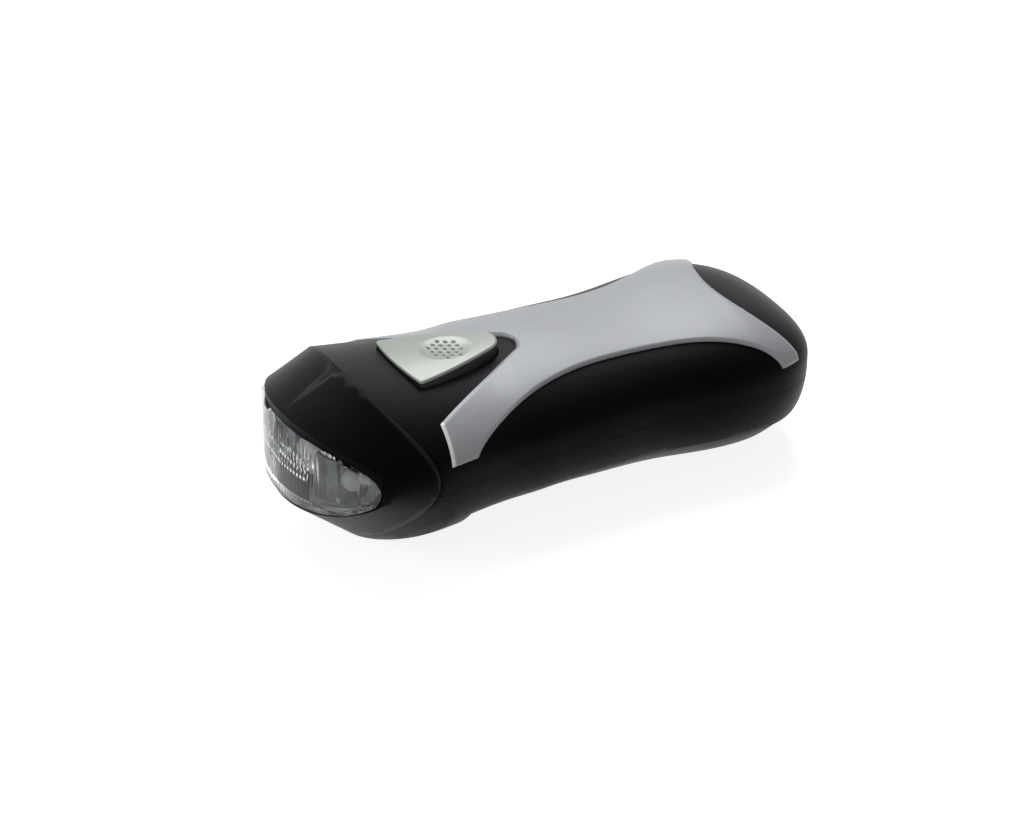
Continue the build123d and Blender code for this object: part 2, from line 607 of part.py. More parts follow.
def lower_shell(outside, inside):
    """Bottom half of the case: deep head, flat deck over the crank arm, posts for what it carries."""
    low = block(-FAR, FAR, -FAR, FAR, 0, PARTING_Z - PARTING_GAP / 2)
    bay = post(BAY_R, -1, DECK_Z, 0, HUB_Y)
    over_bay = post(BAY_R + WALL, -1, FLOOR_Z, 0, HUB_Y)
    shell = (outside & low) - in_front_of_crease(0.0) - bay
    head_floor = block(-FAR, FAR, -FAR, FAR, WALL, FAR)
    shell -= (inside & head_floor) - over_bay
    core = body_form(WALL / 2)
    for x, y in case_screw_places():
        shell += post(BOSS_R, DECK_Z, PARTING_Z - PARTING_GAP / 2, x, y) & core
        shell -= post(CASE_SCREW_R + SCREW_FIT, 0, FAR / 2, x, y)
        shell -= post(CASE_SCREW_HEAD_R + SCREW_FIT, 0, DECK_Z + CASE_SCREW_HEAD, x, y)
    shell -= post(SHAFT_R + BUSH_WALL, 0, FAR / 4, 0, HUB_Y)
    shell += post(3 * AXLE_R, FLOOR_Z, CRANK_GEAR_Z - PINION_OVERLAP, 0, IDLER_Y)
    shell -= post(AXLE_R, DECK_Z + PIN_SINK, FAR / 4, 0, IDLER_Y)
    shell += post(BEARING_R + BEARING_SEAT_WALL, FLOOR_Z, IDLER_Z - BEARING_STEP, 0, ROTOR_Y)
    shell -= post(BEARING_R, FLOOR_Z, FAR / 4, 0, ROTOR_Y)
    board_z = MAIN_BOARD_TOP - BOARD_T
    seats = [(x, y, PLATE_Z, PLATE_SCREW_LENGTH) for x, y in plate_screw_places()]
    seats += [(x, y, board_z, BOARD_SCREW_LENGTH) for x, y in board_screw_places()]
    for x, y, seat, length in seats:
        shell += post(BOARD_POST_R, FLOOR_Z - POST_ROOT, seat, x, y)
        shell -= post(BOARD_SCREW_R, seat - length, seat, x, y)
    return shell


def front_bezel(outside, inside):
    """Black snout round the lens, with a tongue that the two shells clamp."""
    bezel = (outside - inside) & in_front_of_crease(BEZEL_SEAM)
    outer, inner = skin(WALL + TONGUE_GAP, FACE_R - FACE_WALL), skin(WALL + TONGUE_WALL, FACE_R)
    tongue = (outer - inner) & in_front_of_crease(-TONGUE_LENGTH)
    tongue = tongue & block(-FAR, FAR, -FAR, FAR, WALL + TONGUE_GAP, FAR)
    root = (outside - inner) & in_front_of_crease(BEZEL_SEAM)
    bezel += (tongue + root) - ahead_of(CREASE_BOW_R + TONGUE_LENGTH, CREASE_Y + CREASE_BOW_R)
    bezel = bezel & block(-FAR, FAR, -FAR, FAR, 0, FAR)
    return bezel - visor_prism(LENS_HALF_WIDTH, LENS_HALF_HEIGHT, -FAR, FRONT_Y + LENS_DEPTH)


def top_trim():
    """Silver X lying on the upper shell, its four legs wrapped on to the sides."""
    layer = body_form(-TRIM_T) - body_form(0.0)
    return layer & prism(trim_outline(), TRIM_FOOT_Z, FAR)


def case_screws():
    """Four screws from under the deck into the upper shell's bosses."""
    head = DECK_Z + CASE_SCREW_HEAD
    return [
        post(CASE_SCREW_R, DECK_Z + HEAD_CLEARANCE, CASE_SCREW_END_Z, x, y)
        + post(CASE_SCREW_HEAD_R, DECK_Z + HEAD_CLEARANCE, head, x, y)
        for x, y in case_screw_places()
    ]


# ---------------------------------------------------------------- lens, reflector and LEDs
def lens():
    """Clear visor: a curved oblong plug standing in the face, with a lip behind it."""
    plug = visor_prism(LENS_HALF_WIDTH - LENS_GAP, LENS_HALF_HEIGHT - LENS_GAP, -FAR, LENS_AXIS_Y)
    lip_r = FACE_R - FACE_WALL
    lip_back = post(lip_r - LENS_LIP, -1, 2 * FAR, 0, LENS_AXIS_Y)
    hollow = visor_prism(LENS_HALF_WIDTH - LENS_WALL, LENS_HALF_HEIGHT - LENS_WALL, -FAR, LENS_AXIS_Y)
    hollow = hollow & post(LENS_R - LENS_WALL, 0, FAR, 0, LENS_AXIS_Y)
    lip = visor_prism(LENS_LIP_HALF_WIDTH, LENS_HALF_HEIGHT + LENS_LIP_HEIGHT, -FAR, LENS_AXIS_Y)
    lip = lip & block(-FAR, FAR, -FAR, FAR, LENS_Z, FAR) & post(lip_r, 0, FAR, 0, LENS_AXIS_Y)
    return (plug & post(LENS_R, 0, FAR, 0, LENS_AXIS_Y)) + lip - lip_back - hollow


def led_places():
    """The LEDs' distances from the middle."""
    return [-LED_PITCH, 0.0, LED_PITCH]


def reflector():
    """Bright moulding with a cone round each LED and two posts for the LED board."""
    front_r = FACE_R - FACE_WALL - LENS_LIP
    body = visor_prism(REFLECTOR_HALF_WIDTH, REFLECTOR_HALF_HEIGHT, -FAR, REFLECTOR_BACK_Y)
    body = body & post(front_r, 0, FAR, 0, LENS_AXIS_Y)
    body -= block(-FAR, FAR, -FAR, REFLECTOR_BACK_Y - REFLECTOR_DEPTH, -FAR, FAR)
    throat = LED_R + LED_CLEARANCE
    depth = REFLECTOR_BACK_Y - FRONT_Y
    mouth = throat + depth * tan(radians(CUP_HALF_ANGLE))
    for x in led_places():
        cone = Pos(x, REFLECTOR_BACK_Y - depth / 2, LENS_Z) * Rot(90, 0, 0) * Cone(throat, mouth, depth)
        body -= cone
    for x in (-LED_PITCH / 2, LED_PITCH / 2):
        body += rod_y(REFLECTOR_POST_R, REFLECTOR_BACK_Y - REFLECTOR_POST_R, LED_BOARD_Y, x, LENS_Z)
    return body


def led(x):
    """5 mm LED: flange, barrel, dome and two legs through the board."""
    shape = rod_y(LED_FLANGE_R, LED_BOARD_Y - LED_FLANGE, LED_BOARD_Y, x, LENS_Z)
    shape += rod_y(LED_R, LED_BOARD_Y - LED_BARREL, LED_BOARD_Y - LED_FLANGE / 2, x, LENS_Z)
    shape += Pos(x, LED_BOARD_Y - LED_BARREL, LENS_Z) * Sphere(LED_R)
    for side in (-LED_LEG_X, LED_LEG_X):
        shape += rod_y(LED_LEG_R, LED_BOARD_Y - LED_LEG_R, LED_BOARD_Y + BOARD_T + LED_LEG_END, x + side, LENS_Z)
    return shape


def led_board():
    """Circuit board behind the reflector with holes for the LEDs' legs."""
    half_width, half_height = REFLECTOR_HALF_WIDTH - LED_BOARD_SIDE_GAP, LED_BOARD_HALF_HEIGHT
    board = block(
        -half_width, half_width, LED_BOARD_Y, LED_BOARD_Y + BOARD_T, LENS_Z - half_height, LENS_Z + half_height
    )
    for x in led_places():
        for side in (-LED_LEG_X, LED_LEG_X):
            board -= rod_y(LED_LEG_R, LED_BOARD_Y - 1, LED_BOARD_Y + BOARD_T + 1, x + side, LENS_Z)
    return board


# ---------------------------------------------------------------- button and switch
def button():
    """Teardrop push button with a shallow dimple, a retaining flange and a stem."""
    cap = prism(button_outline(), BUTTON_FLANGE_TOP - 0.1, FAR / 2) & button_crown()
    cap -= over_generator(BUTTON_REAR_Z)
    flange = prism(button_outline(BUTTON_FLANGE), BUTTON_FLANGE_Z, BUTTON_FLANGE_TOP)
    flange -= over_generator(FAR)
    return cap + flange + post(STEM_R, PLUNGER_TOP + STEM_GAP, BUTTON_FLANGE_Z + 0.2, 0, SWITCH_Y)


def switch_body():
    """Square push switch standing on the main board, with a well for its plunger."""
    half = SWITCH_SIDE / 2
    top = MAIN_BOARD_TOP + SWITCH_H
    body = block(-half, half, SWITCH_Y - half, SWITCH_Y + half, MAIN_BOARD_TOP, top)
    return body - post(PLUNGER_R + RUN_FIT, top - PLUNGER_SINK - BUTTON_TRAVEL - 0.1, top + 1, 0, SWITCH_Y)


def switch_plunger():
    """Plunger that the button's stem pushes down."""
    return post(PLUNGER_R, MAIN_BOARD_TOP + SWITCH_H - PLUNGER_SINK, PLUNGER_TOP, 0, SWITCH_Y)


def button_spring():
    """Return spring round the switch, as the sleeve that its turns fill."""
    z0, z1 = MAIN_BOARD_TOP + SPRING_GAP, BUTTON_FLANGE_Z - SPRING_GAP
    return pipe(SPRING_R, SPRING_R - SPRING_WIRE, z0, z1, 0, SWITCH_Y)


# ---------------------------------------------------------------- crank arm and its shaft
def crank_arm():
    """The sole of the torch: a bar on the hub that folds flat under the body."""
    form = body_form(ARM_INSET) & block(-FAR, FAR, -FAR, FAR, 0, ARM_TOP)
    form = form & post(BAY_R - ARM_END_GAP, -1, ARM_TOP, 0, HUB_Y)
    form -= block(-FAR, FAR, HUB_Y, 2 * FAR, -1, FAR) - post(ARM_REAR_R, -2, 2 * FAR, 0, HUB_Y)
    slot_end = KNOB_PIN_Y + YOKE_LENGTH + KNOB_LENGTH + KNOB_END_GAP * 2 + KNOB_CAP_T + 1.0
    half = KNOB_R + KNOB_SIDE_GAP
    form -= block(-half, half, KNOB_PIN_Y - YOKE_R - 0.4, slot_end, -1, ARM_TOP - SLOT_ROOF)
    form -= rod_x(THUMB_R, -half, half, slot_end, THUMB_DEPTH - THUMB_R)
    form -= rod_x(KNOB_PIN_R, -KNOB_PIN_HALF_LENGTH, KNOB_PIN_HALF_LENGTH, KNOB_PIN_Y, KNOB_Z)
    form -= post(HUB_CAP_R + SCREW_FIT, -1, HUB_CAP_T + 0.1, 0, HUB_Y)
    form -= post(HUB_SCREW_HEAD_R + 0.2, -1, HUB_CAP_T + 0.1 + HUB_SCREW_HEAD, 0, HUB_Y)
    form -= post(HUB_SCREW_R + SCREW_FIT, -1, ARM_TOP, 0, HUB_Y)
    return form - post(SHAFT_R, SHAFT_SOCKET_Z, ARM_TOP + 1, 0, HUB_Y)


def crank_shaft():
    """Stepped steel shaft: seat in the arm, journal in the bush, pin through the gear plate."""
    shaft = post(SHAFT_R, SHAFT_SOCKET_Z, CRANK_GEAR_Z + CRANK_GEAR_T, 0, HUB_Y)
    shaft += post(SHAFT_R * 0.75, CRANK_GEAR_Z + CRANK_GEAR_T - 1, PLATE_Z - 0.1, 0, HUB_Y)
    shaft += post(SHAFT_PIN_R, PLATE_Z - 1, PLATE_TOP + 2 * CLIP_T, 0, HUB_Y)
    return shaft - post(HUB_SCREW_R, 0, FLOOR_Z + 1, 0, HUB_Y)


def hub_screw():
    """Screw that holds the arm on the shaft."""
    seat = HUB_CAP_T + 0.1 + HUB_SCREW_HEAD
    return post(HUB_SCREW_R, seat - 0.2, FLOOR_Z, 0, HUB_Y) + post(
        HUB_SCREW_HEAD_R, HUB_CAP_T + 0.1, seat, 0, HUB_Y
    )


def hub_cap():
    """Round cover over the hub screw."""
    return post(HUB_CAP_R, 0.1, HUB_CAP_T + 0.1, 0, HUB_Y)


def hub_bush():
    """Flanged bearing of the crank shaft in the deck."""
    bush = pipe(SHAFT_R + BUSH_WALL, SHAFT_R + RUN_FIT, DECK_Z, FLOOR_Z, 0, HUB_Y)
    return bush + pipe(BUSH_FLANGE_R, SHAFT_R + RUN_FIT, FLOOR_Z, FLOOR_Z + BUSH_FLANGE, 0, HUB_Y)


def thrust_washer():
    """Washer between the bush's flange and the crank gear."""
    z = FLOOR_Z + BUSH_FLANGE + RUN_FIT
    return pipe(BUSH_FLANGE_R - 1, SHAFT_R, z, CRANK_GEAR_Z, 0, HUB_Y)


def crank_gear():
    """Large wheel fixed on the crank shaft, with lightening holes."""
    wheel = toothed(CRANK_TEETH, -90, CRANK_GEAR_Z, CRANK_GEAR_Z + CRANK_GEAR_T, 0, HUB_Y)
    wheel -= post(SHAFT_R, 0, FAR, 0, HUB_Y)
    middle = (SHAFT_R + GEAR_MODULE * CRANK_TEETH / 2) / 2
    for k in range(6):
        a = radians(60 * k)
        wheel -= post(middle / 4, 0, FAR, middle * cos(a), HUB_Y + middle * sin(a))
    return wheel


def shaft_clip():
    """Clip on the shaft's pin above the gear plate, with its open side to the tail."""
    clip = pipe(CLIP_R, SHAFT_PIN_R, PLATE_TOP + 0.1, PLATE_TOP + 0.1 + CLIP_T, 0, HUB_Y)
    return clip - block(-SHAFT_PIN_R * 0.8, SHAFT_PIN_R * 0.8, HUB_Y, HUB_Y + FAR, 0, FAR)


# ---------------------------------------------------------------- fold-out knob
def knob_yoke():
    """Block that turns on the knob's hinge pin, with the spindle that the sleeve runs on."""
    y0 = KNOB_PIN_Y + YOKE_LENGTH
    yoke = rod_x(YOKE_R, -YOKE_HALF_WIDTH, YOKE_HALF_WIDTH, KNOB_PIN_Y, KNOB_Z)
    yoke += block(-YOKE_HALF_WIDTH, YOKE_HALF_WIDTH, KNOB_PIN_Y, y0, KNOB_Z - YOKE_R, KNOB_Z + YOKE_R)
    yoke += rod_y(SPINDLE_R, y0 - 1, y0 + KNOB_LENGTH + 2 * KNOB_END_GAP, 0, KNOB_Z)
    return yoke - rod_x(KNOB_PIN_R + RUN_FIT, -FAR, FAR, KNOB_PIN_Y, KNOB_Z)


def knob_sleeve():
    """Turning grip: a slightly waisted sleeve."""
    y0 = KNOB_PIN_Y + YOKE_LENGTH + KNOB_END_GAP
    y1 = y0 + KNOB_LENGTH
    waist = KNOB_R - 0.45
    inner = SPINDLE_R + RUN_FIT
    lines = [
        Line((inner, y0), (KNOB_R - 0.4, y0)),
        Line((KNOB_R - 0.4, y0), (KNOB_R, y0 + 0.4)),
        ThreePointArc((KNOB_R, y0 + 0.4), (waist, (y0 + y1) / 2), (KNOB_R, y1 - 0.4)),
        Line((KNOB_R, y1 - 0.4), (KNOB_R - 0.4, y1)),
        Line((KNOB_R - 0.4, y1), (inner, y1)),
        Line((inner, y1), (inner, y0)),
    ]
    return Pos(0, 0, KNOB_Z) * revolve(make_face(Wire(lines).edges()), Axis.Y)


def knob_end_screw():
    """Broad-headed screw that keeps the sleeve on its spindle."""
    y = KNOB_PIN_Y + YOKE_LENGTH + KNOB_LENGTH + 2 * KNOB_END_GAP
    return rod_y(KNOB_CAP_R, y, y + KNOB_CAP_T, 0, KNOB_Z)


def knob_hinge_pin():
    """Pin pressed into the arm, on which the yoke folds."""
    return rod_x(KNOB_PIN_R, -KNOB_PIN_HALF_LENGTH, KNOB_PIN_HALF_LENGTH, KNOB_PIN_Y, KNOB_Z)


# ---------------------------------------------------------------- gear train and generator
def plate_screw_places():
    """Centres of the gear plate's screws: two ahead of the rotor, two in the nooks between the big wheels."""
    front_x = GEAR_PLATE_HALF_WIDTH - PLATE_PAD_R
    reach_hub = GEAR_MODULE * (CRANK_TEETH / 2 + TOOTH_TIP) + PLATE_POST_GAP + BOARD_POST_R
    reach_idler = GEAR_MODULE * (IDLER_TEETH / 2 + TOOTH_TIP) + PLATE_POST_GAP + BOARD_POST_R
    apart = HUB_Y - IDLER_Y
    ahead = (reach_idler**2 - reach_hub**2 + apart**2) / (2 * apart)
    rear_x, rear_y = sqrt(reach_idler**2 - ahead**2), IDLER_Y + ahead
    front_y = ROTOR_Y - PLATE_SCREW_SETBACK
    return [(side * x, y) for x, y in ((front_x, front_y), (rear_x, rear_y)) for side in (-1, 1)]


def gear_plate():
    """Plate over the wheels that carries the generator and the cell tray."""
    front = Pos(0, ROTOR_Y) * Rectangle(2 * GEAR_PLATE_HALF_WIDTH, 2 * GEAR_PLATE_FRONT)
    edges = front.edges() + (Pos(0, HUB_Y) * Circle(GEAR_PLATE_HUB_R)).edges()
    for px, py in plate_screw_places():
        edges += (Pos(px, py) * Circle(PLATE_PAD_R)).edges()
    outline = make_hull(edges)
    plate = prism(outline, PLATE_Z, PLATE_TOP)
    plate -= post(SHAFT_PIN_R + RUN_FIT, 0, FAR, 0, HUB_Y)
    plate -= post(AXLE_R, 0, PLATE_TOP - PIN_ROOF, 0, IDLER_Y)
    plate -= post(ROTOR_SHAFT_R + SHAFT_CLEARANCE, 0, FAR, 0, ROTOR_Y)
    for px, py in plate_screw_places():
        plate -= post(BOARD_SCREW_R + SCREW_FIT, 0, FAR, px, py)
    return plate


def small_screw(x, y, seat, length):
    """Small pan-headed screw driven down into a post."""
    return post(BOARD_SCREW_R, seat - length, seat + SCREW_HEAD, x, y) + post(
        BOARD_SCREW_HEAD_R, seat, seat + SCREW_HEAD, x, y
    )


def idler_pin():
    """Fixed steel pin of the idler gear, from the deck to the gear plate."""
    return post(AXLE_R, DECK_Z + PIN_SINK, PLATE_TOP - PIN_ROOF, 0, IDLER_Y)


def idler_gear():
    """Compound wheel: small pinion driven by the crank gear, large wheel driving the rotor."""
    pinion_top = IDLER_Z + 0.2
    pinion = toothed(
        IDLER_PINION_TEETH, 90, CRANK_GEAR_Z - PINION_OVERLAP / 2, pinion_top, 0, IDLER_Y, gap_faces=True
    )
    wheel = toothed(IDLER_TEETH, -90, IDLER_Z, IDLER_Z + IDLER_T, 0, IDLER_Y)
    return (pinion + wheel) - post(AXLE_R + RUN_FIT, 0, FAR, 0, IDLER_Y)


def rotor_pinion():
    """Smallest wheel, pressed on the rotor's shaft."""
    pinion = toothed(
        ROTOR_TEETH, 90, IDLER_Z - PINION_OVERLAP, IDLER_Z + IDLER_T + PINION_OVERLAP, 0, ROTOR_Y, gap_faces=True
    )
    return pinion - post(ROTOR_SHAFT_R, 0, FAR, 0, ROTOR_Y)


def rotor_shaft():
    """Thin steel shaft from the lower bearing to the top of the generator."""
    return post(ROTOR_SHAFT_R, FLOOR_Z + SHAFT_FOOT_GAP, STATOR_TOP, 0, ROTOR_Y)


def magnet_z():
    """Height of the magnet's underside, centred in the stator."""
    return PLATE_TOP + (STATOR_H - MAGNET_H) / 2


def rotor_magnet():
    """Ring magnet on the shaft."""
    return pipe(MAGNET_R, ROTOR_SHAFT_R, magnet_z(), magnet_z() + MAGNET_H, 0, ROTOR_Y)


def rotor_bearing(z0, z1):
    """Sintered bearing of the rotor shaft."""
    return pipe(BEARING_R, ROTOR_SHAFT_R + RUN_FIT / 2, z0, z1, 0, ROTOR_Y)


def stator_half(base_z, up):
    """Steel cup with bent-in claws; the upper one faces down and sits half a step round."""
    middle = PLATE_TOP + STATOR_H / 2
    step = 360 / CLAW_COUNT
    z0, z1 = (base_z, base_z + STATOR_T) if up else (base_z - STATOR_T, base_z)
    disc = pipe(STATOR_R, BEARING_R, z0, z1, 0, ROTOR_Y)
    wall = pipe(STATOR_R, STATOR_R - STATOR_T, min(base_z, middle), max(base_z, middle), 0, ROTOR_Y)
    end = middle + (MAGNET_H / 2 - 0.4 if up else 0.4 - MAGNET_H / 2)
    claws = pipe(CLAW_R + STATOR_T, CLAW_R, min(base_z, end), max(base_z, end), 0, ROTOR_Y)
    half_arc = CLAW_R * 2 * tan(radians(CLAW_ANGLE / 2))
    keep = None
    for k in range(CLAW_COUNT):
        turn = step * k + (0 if up else step / 2)
        wedge = Pos(0, ROTOR_Y, middle) * Rot(0, 0, turn) * Pos(CLAW_R, 0, 0) * Box(
            CLAW_R, half_arc, 2 * STATOR_H
        )
        keep = wedge if keep is None else keep + wedge
    return disc + wall + (claws & keep)


def coil_bobbin():
    """Plastic spool between the claws and the cups' walls."""
    z0, z1 = PLATE_TOP + STATOR_T, STATOR_TOP - STATOR_T
    outer = STATOR_R - STATOR_T - 0.1
    core = pipe(BOBBIN_CORE_R, BOBBIN_CORE_R - BOBBIN_WALL, z0, z1, 0, ROTOR_Y)
    low = pipe(outer, BOBBIN_CORE_R - BOBBIN_WALL, z0, z0 + BOBBIN_WALL, 0, ROTOR_Y)
    high = pipe(outer, BOBBIN_CORE_R - BOBBIN_WALL, z1 - BOBBIN_WALL, z1, 0, ROTOR_Y)
    return core + low + high


def coil_winding():
    """Copper winding that fills the spool."""
    z0, z1 = PLATE_TOP + STATOR_T + BOBBIN_WALL, STATOR_TOP - STATOR_T - BOBBIN_WALL
    return pipe(STATOR_R - STATOR_T - 0.4, BOBBIN_CORE_R, z0, z1, 0, ROTOR_Y)


# ---------------------------------------------------------------- electrics
def board_screw_places():
    """Centres of the two main board screws."""
    y = HUB_Y - BAY_R + BOARD_POST_SETBACK
    return [(-BOARD_POST_X, y), (BOARD_POST_X, y)]


def main_board():
    """Circuit board on its two posts."""
    half = MAIN_BOARD_HALF_WIDTH
    top = MAIN_BOARD_TOP
    board = block(-half, half, MAIN_BOARD_FRONT_Y, MAIN_BOARD_BACK_Y, top - BOARD_T, top)
    for x, y in board_screw_places():
        board -= post(BOARD_SCREW_R + SCREW_FIT, 0, FAR, x, y)
    return board


def rectifier_diodes():
    """Four diodes in a row on the board's front end."""
    y = MAIN_BOARD_FRONT_Y + DIODE_SETBACK
    places = [DIODE_PITCH * (k - 1.5) for k in range(4)]
    z = MAIN_BOARD_TOP + DIODE_R
    return [rod_y(DIODE_R, y - DIODE_HALF_LENGTH, y + DIODE_HALF_LENGTH, x, z) for x in places]


def capacitor():
    """Storage capacitor lying across the underside of the main board."""
    z = MAIN_BOARD_TOP - BOARD_T - CAPACITOR_R
    half = CAPACITOR_HALF_LENGTH
    return rod_x(CAPACITOR_R, -half, half, MAIN_BOARD_FRONT_Y + CAPACITOR_SETBACK, z)


def cell_tray():
    """Ring-walled tray for the two coin cells on the gear plate."""
    outer = CELL_R + CELL_GAP + TRAY_WALL
    tray = pipe(outer, CELL_R + CELL_GAP, TRAY_Z, CELL_Z + 2 * CELL_T - 1.0, 0, CELL_Y)
    tray += post(outer, TRAY_Z, TRAY_Z + TRAY_T, 0, CELL_Y)
    return tray - block(-TRAY_NOTCH / 2, TRAY_NOTCH / 2, 0, CELL_Y, TRAY_Z + TRAY_T, FAR)


def coin_cells():
    """Two rechargeable coin cells, one on the other."""
    return [post(CELL_R, CELL_Z + k * CELL_T, CELL_Z + (k + 1) * CELL_T, 0, CELL_Y) for k in range(2)]


def cell_contacts():
    """Lower and upper contact strips, each with a tail over the tray's front edge."""
    front = CELL_Y - CELL_R - CELL_GAP
    half = TAB_WIDTH / 2
    low = block(-half, half, front, CELL_Y + 3, TRAY_Z + TRAY_T, CELL_Z)
    low += block(-half, half, front - TAB_T, front, TRAY_Z + TRAY_T, CELL_Z + 2.0)
    top = CELL_Z + 2 * CELL_T
    high = block(-half, half, front, CELL_Y + 3, top, top + TAB_T)
    high += block(-half, half, front - TAB_T, front, top - 2.0, top + TAB_T)
    return [low, high]


def lead(*points):
    """Insulated lead along straight runs with rounded corners."""
    path = FilletPolyline(*points, radius=1.5)
    start = Plane(origin=path @ 0, z_dir=path % 0)
    return sweep(start * Circle(LEAD_R), path=path)


def internal_leads():
    """Leads: contacts to the main board on either side of the generator, main board to the LED board."""
    side = STATOR_R + 2 * LEAD_R + 0.4
    tab_y = CELL_Y - CELL_R - CELL_GAP - TAB_T - LEAD_R
    over = MAIN_BOARD_TOP + LEAD_RISE
    leads = []
    for sx, tab_z in ((-1, CELL_Z + 1.0), (1, CELL_Z + 2 * CELL_T - 1.0)):
        foot = (sx * 5.5, MAIN_BOARD_BACK_Y - 2.2)
        leads.append(
            lead(
                (sx * 0.5, tab_y, tab_z), (sx * side, tab_y, tab_z), (sx * side, GENERATOR_FRONT_Y, over),
                (*foot, over), (*foot, MAIN_BOARD_TOP),
            )
        )
    board_back = LED_BOARD_Y + BOARD_T
    for x in (-4.0, 4.0):
        foot = (x, MAIN_BOARD_FRONT_Y + 1.5)
        leads.append(lead((x, board_back, over), (*foot, over), (*foot, MAIN_BOARD_TOP)))
    return leads


# ---------------------------------------------------------------- writing every piece
def main():
    os.makedirs("parts", exist_ok=True)
    outside = skin(0.0, FACE_R)
    inside = skin(WALL, FACE_R - FACE_WALL)
    save("upper_shell", upper_shell(outside, inside))
    save("lower_shell", lower_shell(outside, inside))
    save("front_bezel", front_bezel(outside, inside))
    save("top_trim", top_trim())
    save("case_screws", *case_screws())
    save("lens", lens())
    save("reflector", reflector())
    for name, x in zip(("led_left", "led_centre", "led_right"), led_places()):
        save(name, led(x))
    save("led_board", led_board())
    save("button", button())
    save("switch_body", switch_body())
    save("switch_plunger", switch_plunger())
    save("button_spring", button_spring())
    save("crank_arm", crank_arm())
    save("crank_shaft", crank_shaft())
    save("hub_screw", hub_screw())
    save("hub_cap", hub_cap())
    save("hub_bush", hub_bush())
    save("thrust_washer", thrust_washer())
    save("crank_gear", crank_gear())
    save("shaft_clip", shaft_clip())
    save("knob_yoke", knob_yoke())
    save("knob_sleeve", knob_sleeve())
    save("knob_end_screw", knob_end_screw())
    save("knob_hinge_pin", knob_hinge_pin())
    save("gear_plate", gear_plate())
    save("gear_plate_screws", *[small_screw(x, y, PLATE_TOP, PLATE_SCREW_LENGTH) for x, y in plate_screw_places()])
    save("idler_pin", idler_pin())
    save("idler_gear", idler_gear())
    save("rotor_pinion", rotor_pinion())
    save("rotor_shaft", rotor_shaft())
    save("rotor_magnet", rotor_magnet())
    save("rotor_bearing_lower", rotor_bearing(FLOOR_Z, IDLER_Z - BEARING_STEP))
    save("rotor_bearing_upper", rotor_bearing(STATOR_TOP - BEARING_SINK, STATOR_TOP + 0.2))
    save("stator_lower", stator_half(PLATE_TOP, True))
    save("stator_upper", stator_half(STATOR_TOP, False))
    save("coil_bobbin", coil_bobbin())
    save("coil_winding", coil_winding())
    save("main_board", main_board())
    save("board_screws", *[small_screw(x, y, MAIN_BOARD_TOP, BOARD_SCREW_LENGTH) for x, y in board_screw_places()])
    save("rectifier_diodes", *rectifier_diodes())
    save("capacitor", capacitor())
    save("cell_tray", cell_tray())
    save("coin_cells", *coin_cells())
    save("cell_contacts", *cell_contacts())
    save("internal_leads", *internal_leads())


main()
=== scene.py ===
"""Looks of the hand crank flashlight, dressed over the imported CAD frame.

Metres, +Z up. The lens faces -Y, X runs across, and the torch lies on its flat underside at Z = 0.
"""
from math import radians

import bpy
import numpy as np
from mathutils import Matrix


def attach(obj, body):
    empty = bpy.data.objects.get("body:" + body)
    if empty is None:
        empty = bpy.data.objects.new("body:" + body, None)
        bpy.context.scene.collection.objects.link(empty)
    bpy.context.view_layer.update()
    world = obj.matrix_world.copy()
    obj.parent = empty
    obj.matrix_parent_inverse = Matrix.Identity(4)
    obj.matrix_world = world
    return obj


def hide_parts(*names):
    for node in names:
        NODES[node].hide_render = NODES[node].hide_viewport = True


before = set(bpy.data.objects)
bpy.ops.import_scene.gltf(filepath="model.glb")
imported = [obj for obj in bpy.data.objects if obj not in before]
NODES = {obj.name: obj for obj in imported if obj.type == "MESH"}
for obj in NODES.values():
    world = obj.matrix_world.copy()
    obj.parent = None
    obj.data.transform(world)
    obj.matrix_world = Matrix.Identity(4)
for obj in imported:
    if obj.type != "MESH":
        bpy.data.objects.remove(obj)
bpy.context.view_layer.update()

MM = 0.001

# ---- the body's form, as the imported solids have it, in millimetres ----
MID_Z = 22.4
STATIONS = np.array([
    (-47.5, 27.4, 39.2, -0.3), (-36.5, 27.3, 36.6, -0.3), (-18.5, 24.8, 34.1, 0.6),
    (1.5, 23.9, 33.6, 1.0), (21.5, 23.3, 32.8, 0.0), (39.5, 25.1, 33.4, -1.4),
])
HEAD_Y, HIP_Y, RUMP_Y, TAIL_Y = -36.5, 21.5, 39.5, 61.5
CROWN_HEAD, CROWN_REAR = 0.555, 0.67
TAIL_ROUNDNESS, TAIL_DROP_Y, TAIL_DROP_ROUNDNESS = 2.9, 43.0, 1.6
TAIL_END_TOP, TAIL_END_KEEL = 24.0, 7.9

# ---- trim and button, in millimetres ----
TRIM_T = 1.0
TRIM_FOOT_Z = 24.7
TRIM_APEX_Y, TRIM_APEX_HALF, TRIM_APEX_LENGTH = -5.0, 3.2, 1.4
TRIM_LEG_FRONT_Y, TRIM_NOTCH_HALF = -33.7, 20.2
TRIM_OUTER = np.array([
    (29.3, -32.5), (26.3, -28.6), (22.8, -22.6), (15.8, -6.0), (13.3, 11.0), (14.8, 28.5), (23.2, 46.2), (27.2, 51.6),
])
TRIM_REAR_NOTCH_Y, TRIM_TIP_HALF, TRIM_TIP_Y = 44.2, 21.5, 52.6
TRIM_BEVEL, TRIM_EDGE, TRIM_LEG_T = 0.9, 0.3, 0.4
TRIM_THIN_FROM, TRIM_THIN_TO = -10.0, -18.0
TRIM_SLANT, TRIM_SLANT_REACH = 0.67, 6.0
BUTTON_FRONT_Y, BUTTON_FRONT_BOW, BUTTON_HALF = -34.4, 1.5, 10.3
BUTTON_TIP_Y, BUTTON_TIP_LENGTH, BUTTON_TIP_HALF = -9.7, 2.7, 4.1
BUTTON_BELLY, BUTTON_CORNER_R = 0.6, 1.9
BUTTON_TOP, BUTTON_SLOPE, BUTTON_CROWN_R = 37.3, 1.4, 75.0
